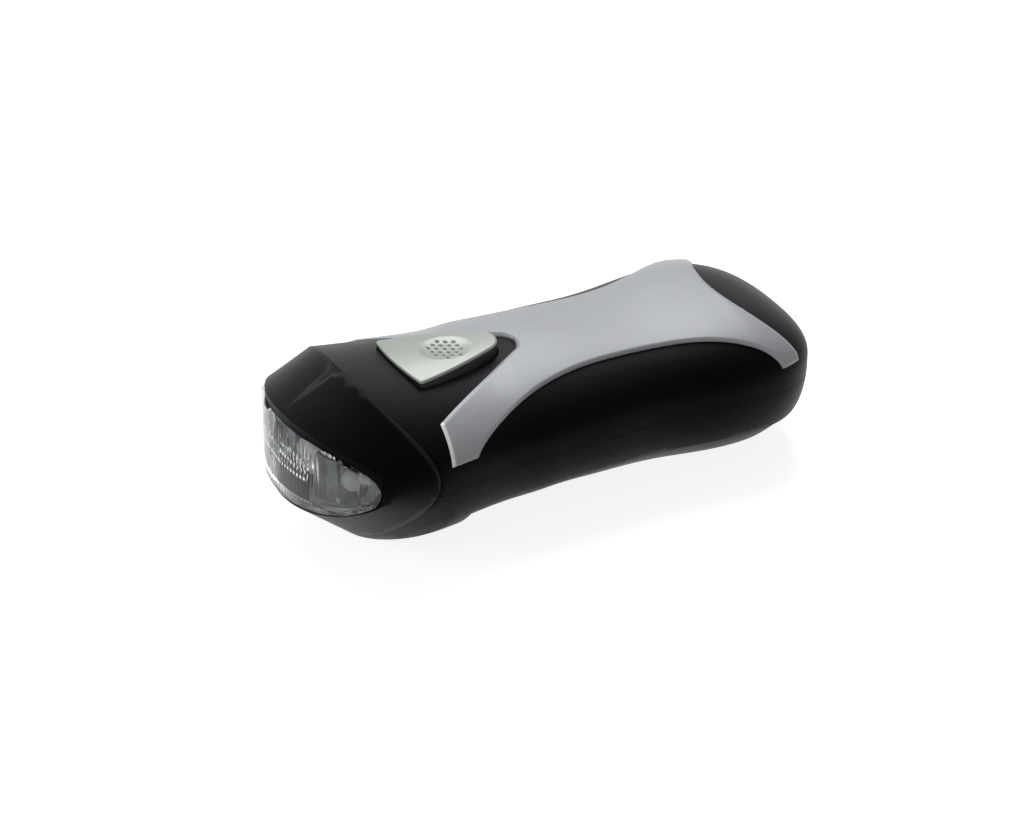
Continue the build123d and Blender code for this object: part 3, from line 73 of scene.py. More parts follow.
BUTTON_MIDDLE_Y, BUTTON_LOW_Z = -24.0, 31.8
BUTTON_RIM_SHARE, BUTTON_RIM_DROP, BUTTON_SILVER_EDGE = 0.05, 0.4, 0.15
DIMPLE_Y, DIMPLE_HALF, DIMPLE_DEPTH = -21.9, (5.0, 6.4), 0.5
DOT_PITCH, DOT_R, DOT_RISE, DOT_SHADE = 1.7, 0.42, 0.3, 0.55

# ---- stage, in metres and watts ----
WORLD_LIGHT = 0.16
FLOOR_HALF, FLOOR_Z, PAPER_GREY, PAPER_GLOW = 3.0, -0.0001, 0.5, 0.86
LAMPS = (  # name, place, aim, width, power
    ("far_lamp", (-0.5, 0.15, 0.8), (0, 0, 0.02), 0.7, 9.0),
    ("front_lamp", (-0.2, -0.9, 0.45), (0, 0, 0.02), 0.5, 2.5),
    ("side_lamp", (0.85, -0.45, 0.3), (0, 0, 0.02), 0.4, 0.9),
)
SENSOR_WIDTH, FOCAL_LENGTH = 36.0, 183.04


# ---------------------------------------------------------------- mesh helpers
def grid_faces(rows, columns, wrap=False):
    """Quads of a rows by columns grid of points; wrap closes each row on itself."""
    i, j = np.meshgrid(np.arange(rows - 1), np.arange(columns - (0 if wrap else 1)), indexing="ij")
    k = (j + 1) % columns
    here, below = i * columns, (i + 1) * columns
    return np.stack([here + j, here + k, below + k, below + j], -1).reshape(-1, 4)


def put_mesh(name, points, faces, weld=1e-6, angle=35.0, flip=False, edge=None):
    """Object from points in millimetres and faces, welded, smooth but for edges sharper than angle. The values of
    edge, one a point, tell the finish where to lay its second colour: a painted highlight on the trim's bevels,
    painted shade on the button's grip dots and black on the button's wall."""
    mesh = bpy.data.meshes.new(name)
    faces = [tuple(int(v) for v in (f[::-1] if flip else f)) for f in faces]
    mesh.from_pydata((np.asarray(points, float) * MM).tolist(), [], faces)
    if edge is not None:
        mesh.attributes.new("edge", "FLOAT", "POINT").data.foreach_set("value", edge.astype(np.float32))
    mesh.validate()
    piece = bpy.data.objects.new(name, mesh)
    bpy.context.scene.collection.objects.link(piece)
    weld_and_smooth(piece, weld, angle)
    return piece


def weld_and_smooth(piece, weld, angle):
    """Doubles merged, shading smooth up to an angle in degrees."""
    import bmesh
    bm = bmesh.new()
    bm.from_mesh(piece.data)
    bmesh.ops.remove_doubles(bm, verts=bm.verts, dist=weld)
    bm.to_mesh(piece.data)
    bm.free()
    piece.data.shade_smooth()
    piece.data.set_sharp_from_angle(angle=radians(angle))


def dressed_copy(node, name, body, material, angle):
    """A CAD node's own shape as a welded piece with smooth faces."""
    piece = bpy.data.objects.new(name, NODES[node].data.copy())
    piece.data.name = name
    bpy.context.scene.collection.objects.link(piece)
    weld_and_smooth(piece, 2e-6, angle)
    finish_piece(piece, body, material, node)
    return piece


def finish_piece(piece, body, material, *stands_for):
    """Material, body and the CAD nodes that a piece stands for."""
    piece.data.materials.clear()
    piece.data.materials.append(material)
    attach(piece, body)
    if stands_for:
        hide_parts(*stands_for)


# ---------------------------------------------------------------- the body's form
def along(y, column):
    """Value of a station column at y: Hermite pieces whose slopes are the chords of the neighbours."""
    ys, vs = STATIONS[:, 0], STATIONS[:, column]
    last = len(ys) - 1
    slopes = np.empty(last + 1)
    slopes[0] = (vs[1] - vs[0]) / (ys[1] - ys[0])
    slopes[1:last] = (vs[2:] - vs[:-2]) / (ys[2:] - ys[:-2])
    slopes[last] = 0.0
    y = np.asarray(y, float)
    k = np.clip(np.searchsorted(ys, y, side="right") - 1, 0, last - 1)
    span = ys[k + 1] - ys[k]
    t = (y - ys[k]) / span
    m0, m1 = slopes[k] * span, slopes[k + 1] * span
    value = (
        (2 * t**3 - 3 * t**2 + 1) * vs[k] + (t**3 - 2 * t**2 + t) * m0
        + (3 * t**2 - 2 * t**3) * vs[k + 1] + (t**3 - t**2) * m1
    )
    return np.where(y <= ys[0], vs[0] + slopes[0] * (y - ys[0]), value)


def section_sizes(y):
    """Half width, top, keel and crown fullness of the body's section at y."""
    y = np.asarray(y, float)
    span = TAIL_Y - RUMP_Y
    u = np.clip((y - RUMP_Y) / span, 0.0, 0.99999)
    d = np.clip((y - TAIL_DROP_Y) / (TAIL_Y - TAIL_DROP_Y), 0.0, 1.0)
    drop = (1 - d**TAIL_DROP_ROUNDNESS) ** (1 / TAIL_DROP_ROUNDNESS)
    before = y <= RUMP_Y
    y_in = np.minimum(y, RUMP_Y)
    half = np.where(before, along(y_in, 1), along(RUMP_Y, 1) * (1 - u**TAIL_ROUNDNESS) ** (1 / TAIL_ROUNDNESS))
    top = np.where(before, along(y_in, 2), TAIL_END_TOP + (along(RUMP_Y, 2) - TAIL_END_TOP) * drop)
    keel = np.where(before, along(y_in, 3), TAIL_END_KEEL + (along(RUMP_Y, 3) - TAIL_END_KEEL) * drop)
    t = np.clip((y - HEAD_Y) / (HIP_Y - HEAD_Y), 0.0, 1.0)
    return half, top, keel, CROWN_HEAD + (CROWN_REAR - CROWN_HEAD) * t


def crown_point(y, s, lift=0.0):
    """Point of the body's upper skin: s runs from 0 at the crown to 1 at the side along the section's cubic
    (crown, level handle, upright handle, side), lifted outwards by growing the section."""
    half, top, _, full = section_sizes(y)
    half, top = half + lift, top + lift
    rise = (top - MID_Z) * full
    t = np.asarray(s, float)
    b0, b1, b2, b3 = (1 - t) ** 3, 3 * t * (1 - t) ** 2, 3 * t**2 * (1 - t), t**3
    x = b1 * half * full + (b2 + b3) * half
    z = (b0 + b1) * top + b2 * (MID_Z + rise) + b3 * MID_Z
    return np.stack([x, np.broadcast_to(y, x.shape), z], -1)


def crown_s(y, want, axis):
    """The s at which the upper skin reaches a given x (axis 0) or height (axis 2), by halving."""
    low, high = np.zeros_like(want), np.ones_like(want)
    for _ in range(40):
        mid = (low + high) / 2
        value = crown_point(y, mid)[..., axis]
        too_far = value > want if axis == 0 else value < want
        high, low = np.where(too_far, mid, high), np.where(too_far, low, mid)
    return (low + high) / 2


def smooth_curve(points, count):
    """Chord-length cubic through points, with slopes from the neighbours' chords."""
    p = np.asarray(points, float)
    t = np.concatenate([[0], np.cumsum(np.linalg.norm(np.diff(p, axis=0), axis=1))])
    m = np.gradient(p, t, axis=0)
    q = np.linspace(0, t[-1], count)
    k = np.clip(np.searchsorted(t, q, side="right") - 1, 0, len(t) - 2)
    h = (t[k + 1] - t[k])[:, None]
    u = ((q - t[k])[:, None]) / h
    return (
        (2 * u**3 - 3 * u**2 + 1) * p[k] + (u**3 - 2 * u**2 + u) * h * m[k]
        + (3 * u**2 - 2 * u**3) * p[k + 1] + (u**3 - u**2) * h * m[k + 1]
    )


# ---------------------------------------------------------------- shader groups
def new_group(name, inputs, outputs):
    """Empty shader node group with float or colour sockets."""
    group = bpy.data.node_groups.new(name, "ShaderNodeTree")
    for label, kind, value in inputs:
        socket = group.interface.new_socket(label, in_out="INPUT", socket_type=kind)
        if value is not None:
            socket.default_value = value
    for label, kind in outputs:
        group.interface.new_socket(label, in_out="OUTPUT", socket_type=kind)
    return group, group.nodes.new("NodeGroupInput"), group.nodes.new("NodeGroupOutput")


def moulded_grain_group():
    """Moulded skin: fine noise of a given size as a bump, with a broader unevenness under it."""
    group, given, out = new_group(
        "moulded_grain",
        [("Grain per metre", "NodeSocketFloat", 4000.0), ("Depth", "NodeSocketFloat", 0.00002),
         ("Broad depth", "NodeSocketFloat", 0.00003)],
        [("Normal", "NodeSocketVector"), ("Mask", "NodeSocketFloat")],
    )
    n, link = group.nodes, group.links
    place = n.new("ShaderNodeTexCoord")
    fine, broad = n.new("ShaderNodeTexNoise"), n.new("ShaderNodeTexNoise")
    fine.inputs["Detail"].default_value = 2.0
    broad.inputs["Scale"].default_value = 260.0
    link.new(place.outputs["Object"], fine.inputs["Vector"])
    link.new(place.outputs["Object"], broad.inputs["Vector"])
    link.new(given.outputs["Grain per metre"], fine.inputs["Scale"])
    fine_height, broad_height = n.new("ShaderNodeMath"), n.new("ShaderNodeMath")
    total = n.new("ShaderNodeMath")
    fine_height.operation = broad_height.operation = "MULTIPLY"
    link.new(fine.outputs["Fac"], fine_height.inputs[0])
    link.new(given.outputs["Depth"], fine_height.inputs[1])
    link.new(broad.outputs["Fac"], broad_height.inputs[0])
    link.new(given.outputs["Broad depth"], broad_height.inputs[1])
    link.new(fine_height.outputs[0], total.inputs[0])
    link.new(broad_height.outputs[0], total.inputs[1])
    bump = n.new("ShaderNodeBump")
    bump.inputs["Distance"].default_value = 1.0
    link.new(total.outputs[0], bump.inputs["Height"])
    link.new(bump.outputs["Normal"], out.inputs["Normal"])
    link.new(broad.outputs["Fac"], out.inputs["Mask"])
    return group


def handled_group():
    """Handling marks: soft cloudy patches that make a finish a little duller or shinier, and its colour uneven."""
    group, given, out = new_group(
        "handled",
        [("Colour", "NodeSocketColor", (0.5, 0.5, 0.5, 1)), ("Other colour", "NodeSocketColor", (0.4, 0.4, 0.4, 1)),
         ("Roughness", "NodeSocketFloat", 0.5), ("Spread", "NodeSocketFloat", 0.1),
         ("Patches per metre", "NodeSocketFloat", 90.0)],
        [("Colour", "NodeSocketColor"), ("Roughness", "NodeSocketFloat")],
    )
    n, link = group.nodes, group.links
    place, cloud = n.new("ShaderNodeTexCoord"), n.new("ShaderNodeTexNoise")
    cloud.inputs["Detail"].default_value = 4.0
    link.new(place.outputs["Object"], cloud.inputs["Vector"])
    link.new(given.outputs["Patches per metre"], cloud.inputs["Scale"])
    mix = n.new("ShaderNodeMix")
    mix.data_type = "RGBA"
    link.new(cloud.outputs["Fac"], mix.inputs["Factor"])
    link.new(given.outputs["Colour"], mix.inputs["A"])
    link.new(given.outputs["Other colour"], mix.inputs["B"])
    centred, spread, total = (n.new("ShaderNodeMath") for _ in range(3))
    centred.operation, centred.inputs[1].default_value = "SUBTRACT", 0.5
    spread.operation = "MULTIPLY"
    link.new(cloud.outputs["Fac"], centred.inputs[0])
    link.new(centred.outputs[0], spread.inputs[0])
    link.new(given.outputs["Spread"], spread.inputs[1])
    link.new(spread.outputs[0], total.inputs[0])
    link.new(given.outputs["Roughness"], total.inputs[1])
    link.new(mix.outputs["Result"], out.inputs["Colour"])
    link.new(total.outputs[0], out.inputs["Roughness"])
    return group


GRAIN = moulded_grain_group()
HANDLED = handled_group()


def finish_of(name, colour, other, roughness, spread=0.1, grain=4000.0, depth=2e-5, broad=2e-5, **constants):
    """Material from the two groups: uneven colour and roughness, grain, and the shader's constant values."""
    material = bpy.data.materials.new(name)
    material.use_nodes = True
    n, link = material.node_tree.nodes, material.node_tree.links
    shader = n["Principled BSDF"]
    handled, skin = n.new("ShaderNodeGroup"), n.new("ShaderNodeGroup")
    handled.node_tree, skin.node_tree = HANDLED, GRAIN
    handled.inputs["Colour"].default_value = (*colour, 1)
    handled.inputs["Other colour"].default_value = (*other, 1)
    handled.inputs["Roughness"].default_value = roughness
    handled.inputs["Spread"].default_value = spread
    skin.inputs["Grain per metre"].default_value = grain
    skin.inputs["Depth"].default_value = depth
    skin.inputs["Broad depth"].default_value = broad
    link.new(handled.outputs["Colour"], shader.inputs["Base Color"])
    link.new(handled.outputs["Roughness"], shader.inputs["Roughness"])
    link.new(skin.outputs["Normal"], shader.inputs["Normal"])
    for socket, value in constants.items():
        shader.inputs[socket.replace("_", " ")].default_value = value
    return material


MATT_BLACK = finish_of(
    "matt_black_plastic", (0.0030, 0.0030, 0.0032), (0.0042, 0.0042, 0.0044), 0.42, 0.08,
    grain=5200.0, depth=1.2e-5, broad=1e-5, Specular_IOR_Level=0.1, Specular_Tint=(0.06, 0.06, 0.065, 1),
)
ARM_BLACK = finish_of(
    "satin_black_plastic", (0.005, 0.005, 0.0055), (0.008, 0.008, 0.008), 0.42, 0.1,
    grain=3600.0, depth=1.5e-5, broad=1e-5, Specular_IOR_Level=0.25, Specular_Tint=(0.12, 0.12, 0.125, 1),
)
KNOB_BLACK = finish_of(
    "knob_black_plastic", (0.007, 0.007, 0.0075), (0.011, 0.011, 0.011), 0.34, 0.12, Specular_IOR_Level=0.3,
    Specular_Tint=(0.2, 0.2, 0.2, 1),
)
SILVER_PAINT = finish_of(
    "silver_paint", (0.30, 0.31, 0.325), (0.335, 0.345, 0.36), 0.42, 0.06,
    grain=9000.0, depth=4e-6, broad=4e-6, Metallic=0.1, Specular_IOR_Level=0.25,
)
BUTTON_SILVER = finish_of(
    "button_silver_paint", (0.255, 0.278, 0.248), (0.285, 0.308, 0.278), 0.32, 0.06,
    grain=7000.0, depth=3e-6, broad=4e-6, Metallic=0.1, Coat_Weight=0.15, Coat_Roughness=0.12,
)
BRIGHT = finish_of(
    "smoked_metallising", (0.12, 0.13, 0.136), (0.10, 0.108, 0.114), 0.28, 0.08, depth=2e-6, broad=8e-6,
    Metallic=1.0,
)
STEEL = finish_of("plated_steel", (0.55, 0.55, 0.56), (0.48, 0.48, 0.5), 0.28, 0.15, depth=4e-6, Metallic=1.0)
BRASS = finish_of("machined_brass", (0.65, 0.47, 0.2), (0.55, 0.4, 0.18), 0.3, 0.15, depth=4e-6, Metallic=1.0)
COPPER = finish_of("enamelled_copper", (0.62, 0.27, 0.12), (0.5, 0.2, 0.09), 0.25, 0.1, Metallic=0.9)
MAGNET = finish_of("sintered_ferrite", (0.06, 0.06, 0.065), (0.045, 0.045, 0.05), 0.55, 0.1)
ACETAL = finish_of("natural_acetal", (0.72, 0.72, 0.68), (0.66, 0.66, 0.62), 0.42, 0.1)
BOARD = finish_of("solder_masked_board", (0.02, 0.13, 0.05), (0.016, 0.1, 0.04), 0.3, 0.1)
CAN = finish_of("capacitor_sleeve", (0.05, 0.06, 0.2), (0.04, 0.05, 0.17), 0.3, 0.1)
LEAD = finish_of("red_wire_insulation", (0.4, 0.02, 0.015), (0.32, 0.015, 0.012), 0.4, 0.1)
EPOXY = finish_of(
    "led_epoxy", (0.85, 0.86, 0.74), (0.8, 0.82, 0.72), 0.08, 0.03, depth=1e-6, broad=2e-6,
    Transmission_Weight=0.45, IOR=1.5,
)
CLEAR = finish_of(
    "clear_polycarbonate", (0.60, 0.62, 0.625), (0.62, 0.64, 0.645), 0.04, 0.01, grain=900.0, depth=2e-7,
    broad=3e-7, Transmission_Weight=1.0, IOR=1.45,
)

def second_finish(material, colour, roughness):
    """Another colour and roughness where a piece's edge values are 1: a painted highlight on the trim, painted shade
    on the button's dots and black on its wall.
    """
    n, link = material.node_tree.nodes, material.node_tree.links
    shader = n["Principled BSDF"]
    edge, tint, gloss = n.new("ShaderNodeAttribute"), n.new("ShaderNodeMix"), n.new("ShaderNodeMix")
    edge.attribute_name = "edge"
    tint.data_type = "RGBA"
    for mix, socket, value in ((tint, "Base Color", (*colour, 1)), (gloss, "Roughness", roughness)):
        link.new(shader.inputs[socket].links[0].from_socket, mix.inputs["A"])
        mix.inputs["B"].default_value = value
        link.new(edge.outputs["Fac"], mix.inputs["Factor"])
        link.new(mix.outputs["Result"], shader.inputs[socket])


# painted highlight: a near-white, glossier colour on the trim's front bevels
second_finish(SILVER_PAINT, (0.80, 0.81, 0.82), 0.25)
# near-black: the button's wall under its rim, and painted shade on its grip dots
second_finish(BUTTON_SILVER, (0.004, 0.004, 0.0042), 0.5)

NODE_FINISH = {
    "upper_shell": MATT_BLACK, "lower_shell": MATT_BLACK, "front_bezel": MATT_BLACK, "crank_arm": ARM_BLACK,
    "hub_cap": KNOB_BLACK, "knob_sleeve": KNOB_BLACK, "top_trim": SILVER_PAINT, "button": BUTTON_SILVER,
    "lens": CLEAR, "reflector": BRIGHT, "led_left": EPOXY, "led_centre": EPOXY, "led_right": EPOXY,
    "led_board": BOARD, "main_board": BOARD, "switch_body": KNOB_BLACK, "rectifier_diodes": KNOB_BLACK,
    "capacitor": CAN, "internal_leads": LEAD, "rotor_magnet": MAGNET, "coil_winding": COPPER,
    "rotor_pinion": BRASS, "rotor_bearing_lower": BRASS, "rotor_bearing_upper": BRASS, "cell_contacts": BRASS,
}
for plain in ("switch_plunger", "crank_gear", "idler_gear", "hub_bush", "knob_yoke", "coil_bobbin", "cell_tray",
              "gear_plate"):
    NODE_FINISH[plain] = ACETAL
for node, piece in NODES.items():
    piece.data.materials.clear()
    piece.data.materials.append(NODE_FINISH.get(node, STEEL))


# ---------------------------------------------------------------- top trim
def trim_edges(y):
    """The trim's inner and outer edge at y, as distances x from the middle."""
    outer = smooth_curve(TRIM_OUTER, 400)
    x_out = np.interp(y, outer[:, 1], outer[:, 0], left=40.0)
    apex_y = TRIM_APEX_Y - TRIM_APEX_LENGTH
    slope = (TRIM_NOTCH_HALF - TRIM_APEX_HALF) / (TRIM_LEG_FRONT_Y - apex_y)
    leg = TRIM_APEX_HALF + (y - apex_y) * slope
    r = (TRIM_APEX_HALF**2 + TRIM_APEX_LENGTH**2) / (2 * TRIM_APEX_LENGTH)
    tip = np.sqrt(np.clip(r**2 - (r - (TRIM_APEX_Y - y)) ** 2, 0, None))
    x_in = np.where(y < apex_y, leg, np.where(y < TRIM_APEX_Y, tip, 0.0))
    a = np.array([0.0, TRIM_REAR_NOTCH_Y])
    b = np.array([TRIM_TIP_HALF / 2, TRIM_REAR_NOTCH_Y + 2.2])
    c = np.array([TRIM_TIP_HALF, TRIM_TIP_Y])
    m = np.array([b - a, c - a])
    centre = a + np.linalg.solve(2 * m, (m**2).sum(1))
    radius = np.linalg.norm(a - centre)
    rear = centre[0] + np.sqrt(np.clip(radius**2 - (y - centre[1]) ** 2, 0, None))
    return np.where(y > TRIM_REAR_NOTCH_Y, np.minimum(rear, TRIM_TIP_HALF + (y - TRIM_TIP_Y)), x_in), x_out


def trim_piece():
    """Half the saddle as rows along y and columns from its inner to its outer edge, at s values on the body's
    section; it stands off the skin by its thickness, which thins along the front legs and at a bevel that falls
    over a set distance from the nearest edge. The bevel of the legs' front ends is told to the finish, which
    paints a highlight there. Its edges have a wall down to the skin, and the other half is its mirror."""
    front, back = TRIM_LEG_FRONT_Y, TRIM_TIP_Y + 0.2
    rows = np.concatenate([
        np.linspace(front, -8.2, 110), np.linspace(-8.0, -5.02, 40), np.linspace(-4.96, 43.9, 130),
        np.linspace(44.0, 46.0, 40), np.linspace(46.2, back, 60),
    ])
    across = 1 - np.cos(np.linspace(0, np.pi, 61))
    w = across / 2
    x_in, x_out = trim_edges(rows)
    foot = crown_s(rows, np.full_like(rows, TRIM_FOOT_Z), 2)
    s_in = crown_s(rows, x_in, 0)
    s_in = np.where(x_in <= 0, 0.0, s_in)
    s_out = np.minimum(crown_s(rows, np.minimum(x_out, 60.0), 0), foot)
    s_out = np.maximum(s_out, s_in + 1e-4)
    y = np.broadcast_to(rows[:, None], (len(rows), len(w))).copy()
    fade = np.clip(1 - (rows - front) / TRIM_SLANT_REACH, 0, 1)[:, None]
    y -= TRIM_SLANT * w[None, :] * fade
    s = s_in[:, None] + (s_out - s_in)[:, None] * w[None, :]
    skin = crown_point(y, s)
    edge = np.concatenate([skin[:, -1], skin[0], skin[-1], skin[x_in > 0, 0]])
    flat = skin.reshape(-1, 3)
    near = np.full(len(flat), 1e9)
    for part in np.array_split(edge, max(1, len(edge) // 64)):
        near = np.minimum(near, np.sqrt(((flat[:, None] - part[None]) ** 2).sum(-1)).min(1))
    near = near.reshape(y.shape)
    bevel = np.clip(near / TRIM_BEVEL, 0, 1)
    thin = np.clip((rows - TRIM_THIN_FROM) / (TRIM_THIN_TO - TRIM_THIN_FROM), 0, 1)[:, None]
    full = TRIM_T + (TRIM_LEG_T - TRIM_T) * thin**2 * (3 - 2 * thin)
    height = TRIM_EDGE * full + (1 - TRIM_EDGE) * full * (1 - (1 - bevel) ** 1.6)
    top = crown_point(y, s, height)
    low = crown_point(y, s, -0.15)
    count = y.size
    faces = [grid_faces(*y.shape)]
    index = np.arange(count).reshape(y.shape)
    points = [top.reshape(-1, 3)]
    start = count
    for line, turn in ((index[:, -1], False), (index[0], True), (index[-1], False), (index[:, 0], True)):
        foot_points = low.reshape(-1, 3)[line]
        k = np.arange(len(line) - 1)
        wall = np.stack([line[k], line[k + 1], start + k + 1, start + k], -1)
        faces.append(wall[:, ::-1] if not turn else wall)
        points.append(foot_points)
        start += len(line)
    half = np.concatenate(points)
    quads = np.concatenate(faces)
    both = np.concatenate([half, half * [-1, 1, 1]])
    all_faces = np.concatenate([quads, quads[:, ::-1] + len(half)])
    # painted highlight mask: 1 at the legs' front ends, falling to 0 over the bevel width
    from_end = np.sqrt(((flat[:, None] - skin[0][None]) ** 2).sum(-1)).min(1)
    edge = np.zeros(len(half))
    edge[:count] = 1 - np.clip(from_end / TRIM_BEVEL, 0, 1) ** 4
    return put_mesh("saddle_trim", both, all_faces, 4e-6, 50, True, np.concatenate([edge, edge]))


# ---------------------------------------------------------------- button
def button_outline(count):
    """The teardrop as a closed line: bowed front, full sides, round tip, with its front corners rounded by
    averaging along the line."""
    half, tip = BUTTON_HALF, BUTTON_TIP_HALF
    front, tip_y = BUTTON_FRONT_Y + BUTTON_FRONT_BOW, BUTTON_TIP_Y - BUTTON_TIP_LENGTH

    def arc(a, b, c, n=400):
        a, b, c = map(np.array, (a, b, c))
        m = np.array([b - a, c - a])
        centre = a + np.linalg.solve(2 * m, (m**2).sum(1))
        t0, t1, t2 = (np.arctan2(*(p - centre)[::-1]) for p in (a, b, c))
        turn = (t2 - t0) % (2 * np.pi)
        if (t1 - t0) % (2 * np.pi) > turn:
            turn -= 2 * np.pi
        t = t0 + turn * np.linspace(0, 1, n, endpoint=False)
        return centre + np.linalg.norm(a - centre) * np.stack([np.cos(t), np.sin(t)], -1)

    side = np.array([half - tip, front - tip_y])
    side = side / np.linalg.norm(side)
    mid = ((half + tip) / 2 - side[1] * BUTTON_BELLY, (front + tip_y) / 2 + side[0] * BUTTON_BELLY)
    line = np.concatenate([
        arc((-half, front), (0.0, BUTTON_FRONT_Y), (half, front)), arc((half, front), mid, (tip, tip_y)),
        arc((tip, tip_y), (0.0, BUTTON_TIP_Y), (-tip, tip_y)),
        arc((-tip, tip_y), (-mid[0], mid[1]), (-half, front)),
    ])
    step = np.linalg.norm(np.roll(line, -1, 0) - line, axis=1)
    run = np.concatenate([[0], np.cumsum(step)])
    closed = np.concatenate([line, line[:1]])
    even = np.linspace(0, run[-1], 2400, endpoint=False)
    line = np.stack([np.interp(even, run, closed[:, i]) for i in (0, 1)], -1)
    reach = int(BUTTON_CORNER_R * 0.62 / (run[-1] / 2400))
    kernel = np.hanning(2 * reach + 1)
    kernel /= kernel.sum()
    padded = np.concatenate([line[-reach:], line, line[:reach]])
    line = np.stack([np.convolve(padded[:, i], kernel, "valid") for i in (0, 1)], -1)
    return line[np.linspace(0, 2400, count, endpoint=False).astype(int)]


def button_piece():
    """Cap: rings scaled from the middle to the outline; the top is a wide barrel that falls to the tail, turned
    down over a rounded rim, with a shallow dimple and rows of low grip dots in it, darkened by painted shade.
    Under the silver rim the wall is black, and runs into the case."""
    outline = button_outline(240)
    centre = np.array([0.0, BUTTON_MIDDLE_Y])
    inner = np.linspace(0.0, 0.955, 90)
    rho = np.concatenate([inner, 1 - BUTTON_RIM_SHARE * np.cos(np.linspace(0, np.pi / 2, 10))[1:]])
    rho = np.unique(np.clip(rho, 0, 1))
    plan = centre + rho[:, None, None] * (outline - centre)[None]
    x, y = plan[..., 0], plan[..., 1]
    tilt = np.tan(radians(BUTTON_SLOPE))
    z = BUTTON_TOP - tilt * (y - BUTTON_FRONT_Y) - x**2 / (2 * BUTTON_CROWN_R)
    u, v = x / DIMPLE_HALF[0], (y - DIMPLE_Y) / DIMPLE_HALF[1]
    bowl = np.clip(1 - (u**2 + v**2), 0, 1)
    z -= DIMPLE_DEPTH * bowl**2 * (3 - 2 * bowl)
    # painted shade on the grip dots, laid on by the finish's near-black second colour
    painted_dot_shade = np.zeros_like(z)
    for row in range(-2, 3):
        for column in range(-2, 3):
            if abs(row) + abs(column) > 3:
                continue
            shift = 0.5 * (row % 2)
            dx, dy = x - DOT_PITCH * (column + shift), y - DIMPLE_Y - DOT_PITCH * 0.9 * row
            dot = np.exp(-((dx**2 + dy**2) / DOT_R**2) ** 2)
            z += DOT_RISE * dot
            painted_dot_shade += DOT_SHADE * dot
    turn = np.clip((rho - (1 - BUTTON_RIM_SHARE)) / BUTTON_RIM_SHARE, 0, 1)[:, None]
    z -= BUTTON_RIM_DROP * (1 - np.sqrt(np.clip(1 - turn**2, 0, 1)))
    top = np.stack([x, y, z], -1)
    rim = top[-1:] - [0, 0, BUTTON_SILVER_EDGE]
    low = rim * [1, 1, 0] + [0, 0, BUTTON_LOW_Z]
    points = np.concatenate([top, rim, rim - [0, 0, 0.02], low]).reshape(-1, 3)
    edge = np.concatenate([painted_dot_shade, np.zeros((1, len(outline))), np.ones((2, len(outline)))]).reshape(-1)
    return put_mesh("push_button", points, grid_faces(len(rho) + 3, len(outline), True), 1e-6, 60, False, edge)


trim = trim_piece()
finish_piece(trim, "case", SILVER_PAINT, "top_trim")
button = button_piece()
finish_piece(button, "button", BUTTON_SILVER, "button")

for node, name, body, material in (
    ("upper_shell", "upper_case", "case", MATT_BLACK), ("lower_shell", "lower_case", "case", MATT_BLACK),
    ("front_bezel", "snout", "case", MATT_BLACK), ("crank_arm", "folding_arm", "crank", ARM_BLACK),
    ("hub_cap", "arm_cap", "crank", KNOB_BLACK), ("knob_sleeve", "grip", "knob_grip", KNOB_BLACK),
    ("lens", "visor", "case", CLEAR), ("reflector", "bright_tray", "case", BRIGHT),
):
    dressed_copy(node, name, body, material, 30.0)


# ---------------------------------------------------------------- stage, light and camera
def white_for_camera(tree, plain, strength):
    """Shows plain white to the camera, reflections and refractions, and the given shader to all other rays."""
    n, link = tree.nodes, tree.links
    path, glow, mix = n.new("ShaderNodeLightPath"), n.new("ShaderNodeEmission"), n.new("ShaderNodeMixShader")
    glow.inputs["Strength"].default_value = strength
    seen, either = n.new("ShaderNodeMath"), n.new("ShaderNodeMath")
    seen.operation = either.operation = "MAXIMUM"
    link.new(path.outputs["Is Camera Ray"], seen.inputs[0])
    link.new(path.outputs["Is Glossy Ray"], seen.inputs[1])
    link.new(seen.outputs[0], either.inputs[0])
    link.new(path.outputs["Is Transmission Ray"], either.inputs[1])
    link.new(either.outputs[0], mix.inputs["Fac"])
    link.new(plain, mix.inputs[1])
    link.new(glow.outputs[0], mix.inputs[2])
    return mix.outputs[0]


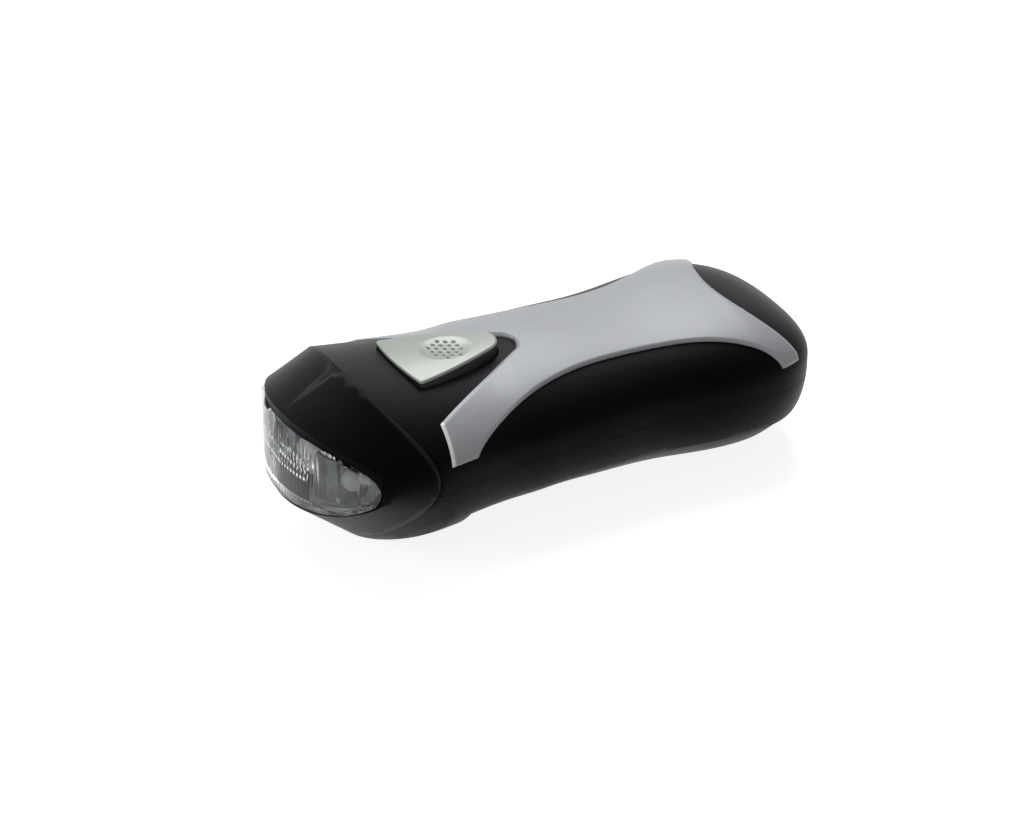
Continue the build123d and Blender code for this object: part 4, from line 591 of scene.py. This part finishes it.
def set_stage():
    """White floor that keeps a faint shadow, a white surround, three soft lamps and the photograph's camera."""
    scene = bpy.context.scene
    world = scene.world or bpy.data.worlds.new("studio")
    scene.world = world
    world.use_nodes = True
    n, link = world.node_tree.nodes, world.node_tree.links
    plain = n["Background"]
    plain.inputs["Color"].default_value = (1, 1, 1, 1)
    plain.inputs["Strength"].default_value = WORLD_LIGHT
    shown = white_for_camera(world.node_tree, plain.outputs[0], 1.0)
    link.new(shown, n["World Output"].inputs["Surface"])

    size = FLOOR_HALF
    floor_mesh = bpy.data.meshes.new("floor")
    floor_mesh.from_pydata(
        [(-size, -size, FLOOR_Z), (size, -size, FLOOR_Z), (size, size, FLOOR_Z), (-size, size, FLOOR_Z)],
        [], [(0, 1, 2, 3)],
    )
    floor = bpy.data.objects.new("floor", floor_mesh)
    scene.collection.objects.link(floor)
    paper = bpy.data.materials.new("white_paper")
    paper.use_nodes = True
    pn, pl = paper.node_tree.nodes, paper.node_tree.links
    pn.remove(pn["Principled BSDF"])
    diffuse, glow, add = pn.new("ShaderNodeBsdfDiffuse"), pn.new("ShaderNodeEmission"), pn.new("ShaderNodeAddShader")
    diffuse.inputs["Color"].default_value = (PAPER_GREY, PAPER_GREY, PAPER_GREY, 1)
    path = pn.new("ShaderNodeLightPath")
    lit = pn.new("ShaderNodeMath")
    lit.operation = "MULTIPLY"
    lit.inputs[1].default_value = PAPER_GLOW
    seen = pn.new("ShaderNodeMath")
    seen.operation = "MAXIMUM"
    pl.new(path.outputs["Is Camera Ray"], seen.inputs[0])
    pl.new(path.outputs["Is Glossy Ray"], seen.inputs[1])
    pl.new(seen.outputs[0], lit.inputs[0])
    pl.new(lit.outputs[0], glow.inputs["Strength"])
    pl.new(diffuse.outputs[0], add.inputs[0])
    pl.new(glow.outputs[0], add.inputs[1])
    pl.new(add.outputs[0], pn["Material Output"].inputs["Surface"])
    floor_mesh.materials.append(paper)

    for name, place, aim, width, power in LAMPS:
        light = bpy.data.lights.new(name, "AREA")
        light.shape, light.size, light.size_y, light.energy = "RECTANGLE", width, width, power
        lamp = bpy.data.objects.new(name, light)
        back = np.array(place) - np.array(aim)
        back /= np.linalg.norm(back)
        right = np.cross((0, 0, 1), back) if abs(back[2]) < 0.99 else np.array((1.0, 0, 0))
        right /= np.linalg.norm(right)
        lamp.matrix_world = Matrix((
            (*right[:1], np.cross(back, right)[0], back[0], place[0]),
            (right[1], np.cross(back, right)[1], back[1], place[1]),
            (right[2], np.cross(back, right)[2], back[2], place[2]), (0, 0, 0, 1),
        ))
        scene.collection.objects.link(lamp)

    camera = bpy.data.objects.new("camera", bpy.data.cameras.new("camera"))
    camera.data.sensor_fit, camera.data.sensor_width, camera.data.lens = (
        "HORIZONTAL", SENSOR_WIDTH, FOCAL_LENGTH
    )
    camera.data.clip_start = 0.05
    camera.matrix_world = Matrix((
        (0.48215892, -0.44185356, 0.75649733, 0.83690786), (0.87608377, 0.24317724, -0.41634367, -0.46788557),
        (0.0, 0.86349885, 0.50435081, 0.5729009), (0, 0, 0, 1),
    ))
    scene.collection.objects.link(camera)
    scene.camera = camera
    scene.view_settings.view_transform = "Standard"


set_stage()
bpy.context.view_layer.update()
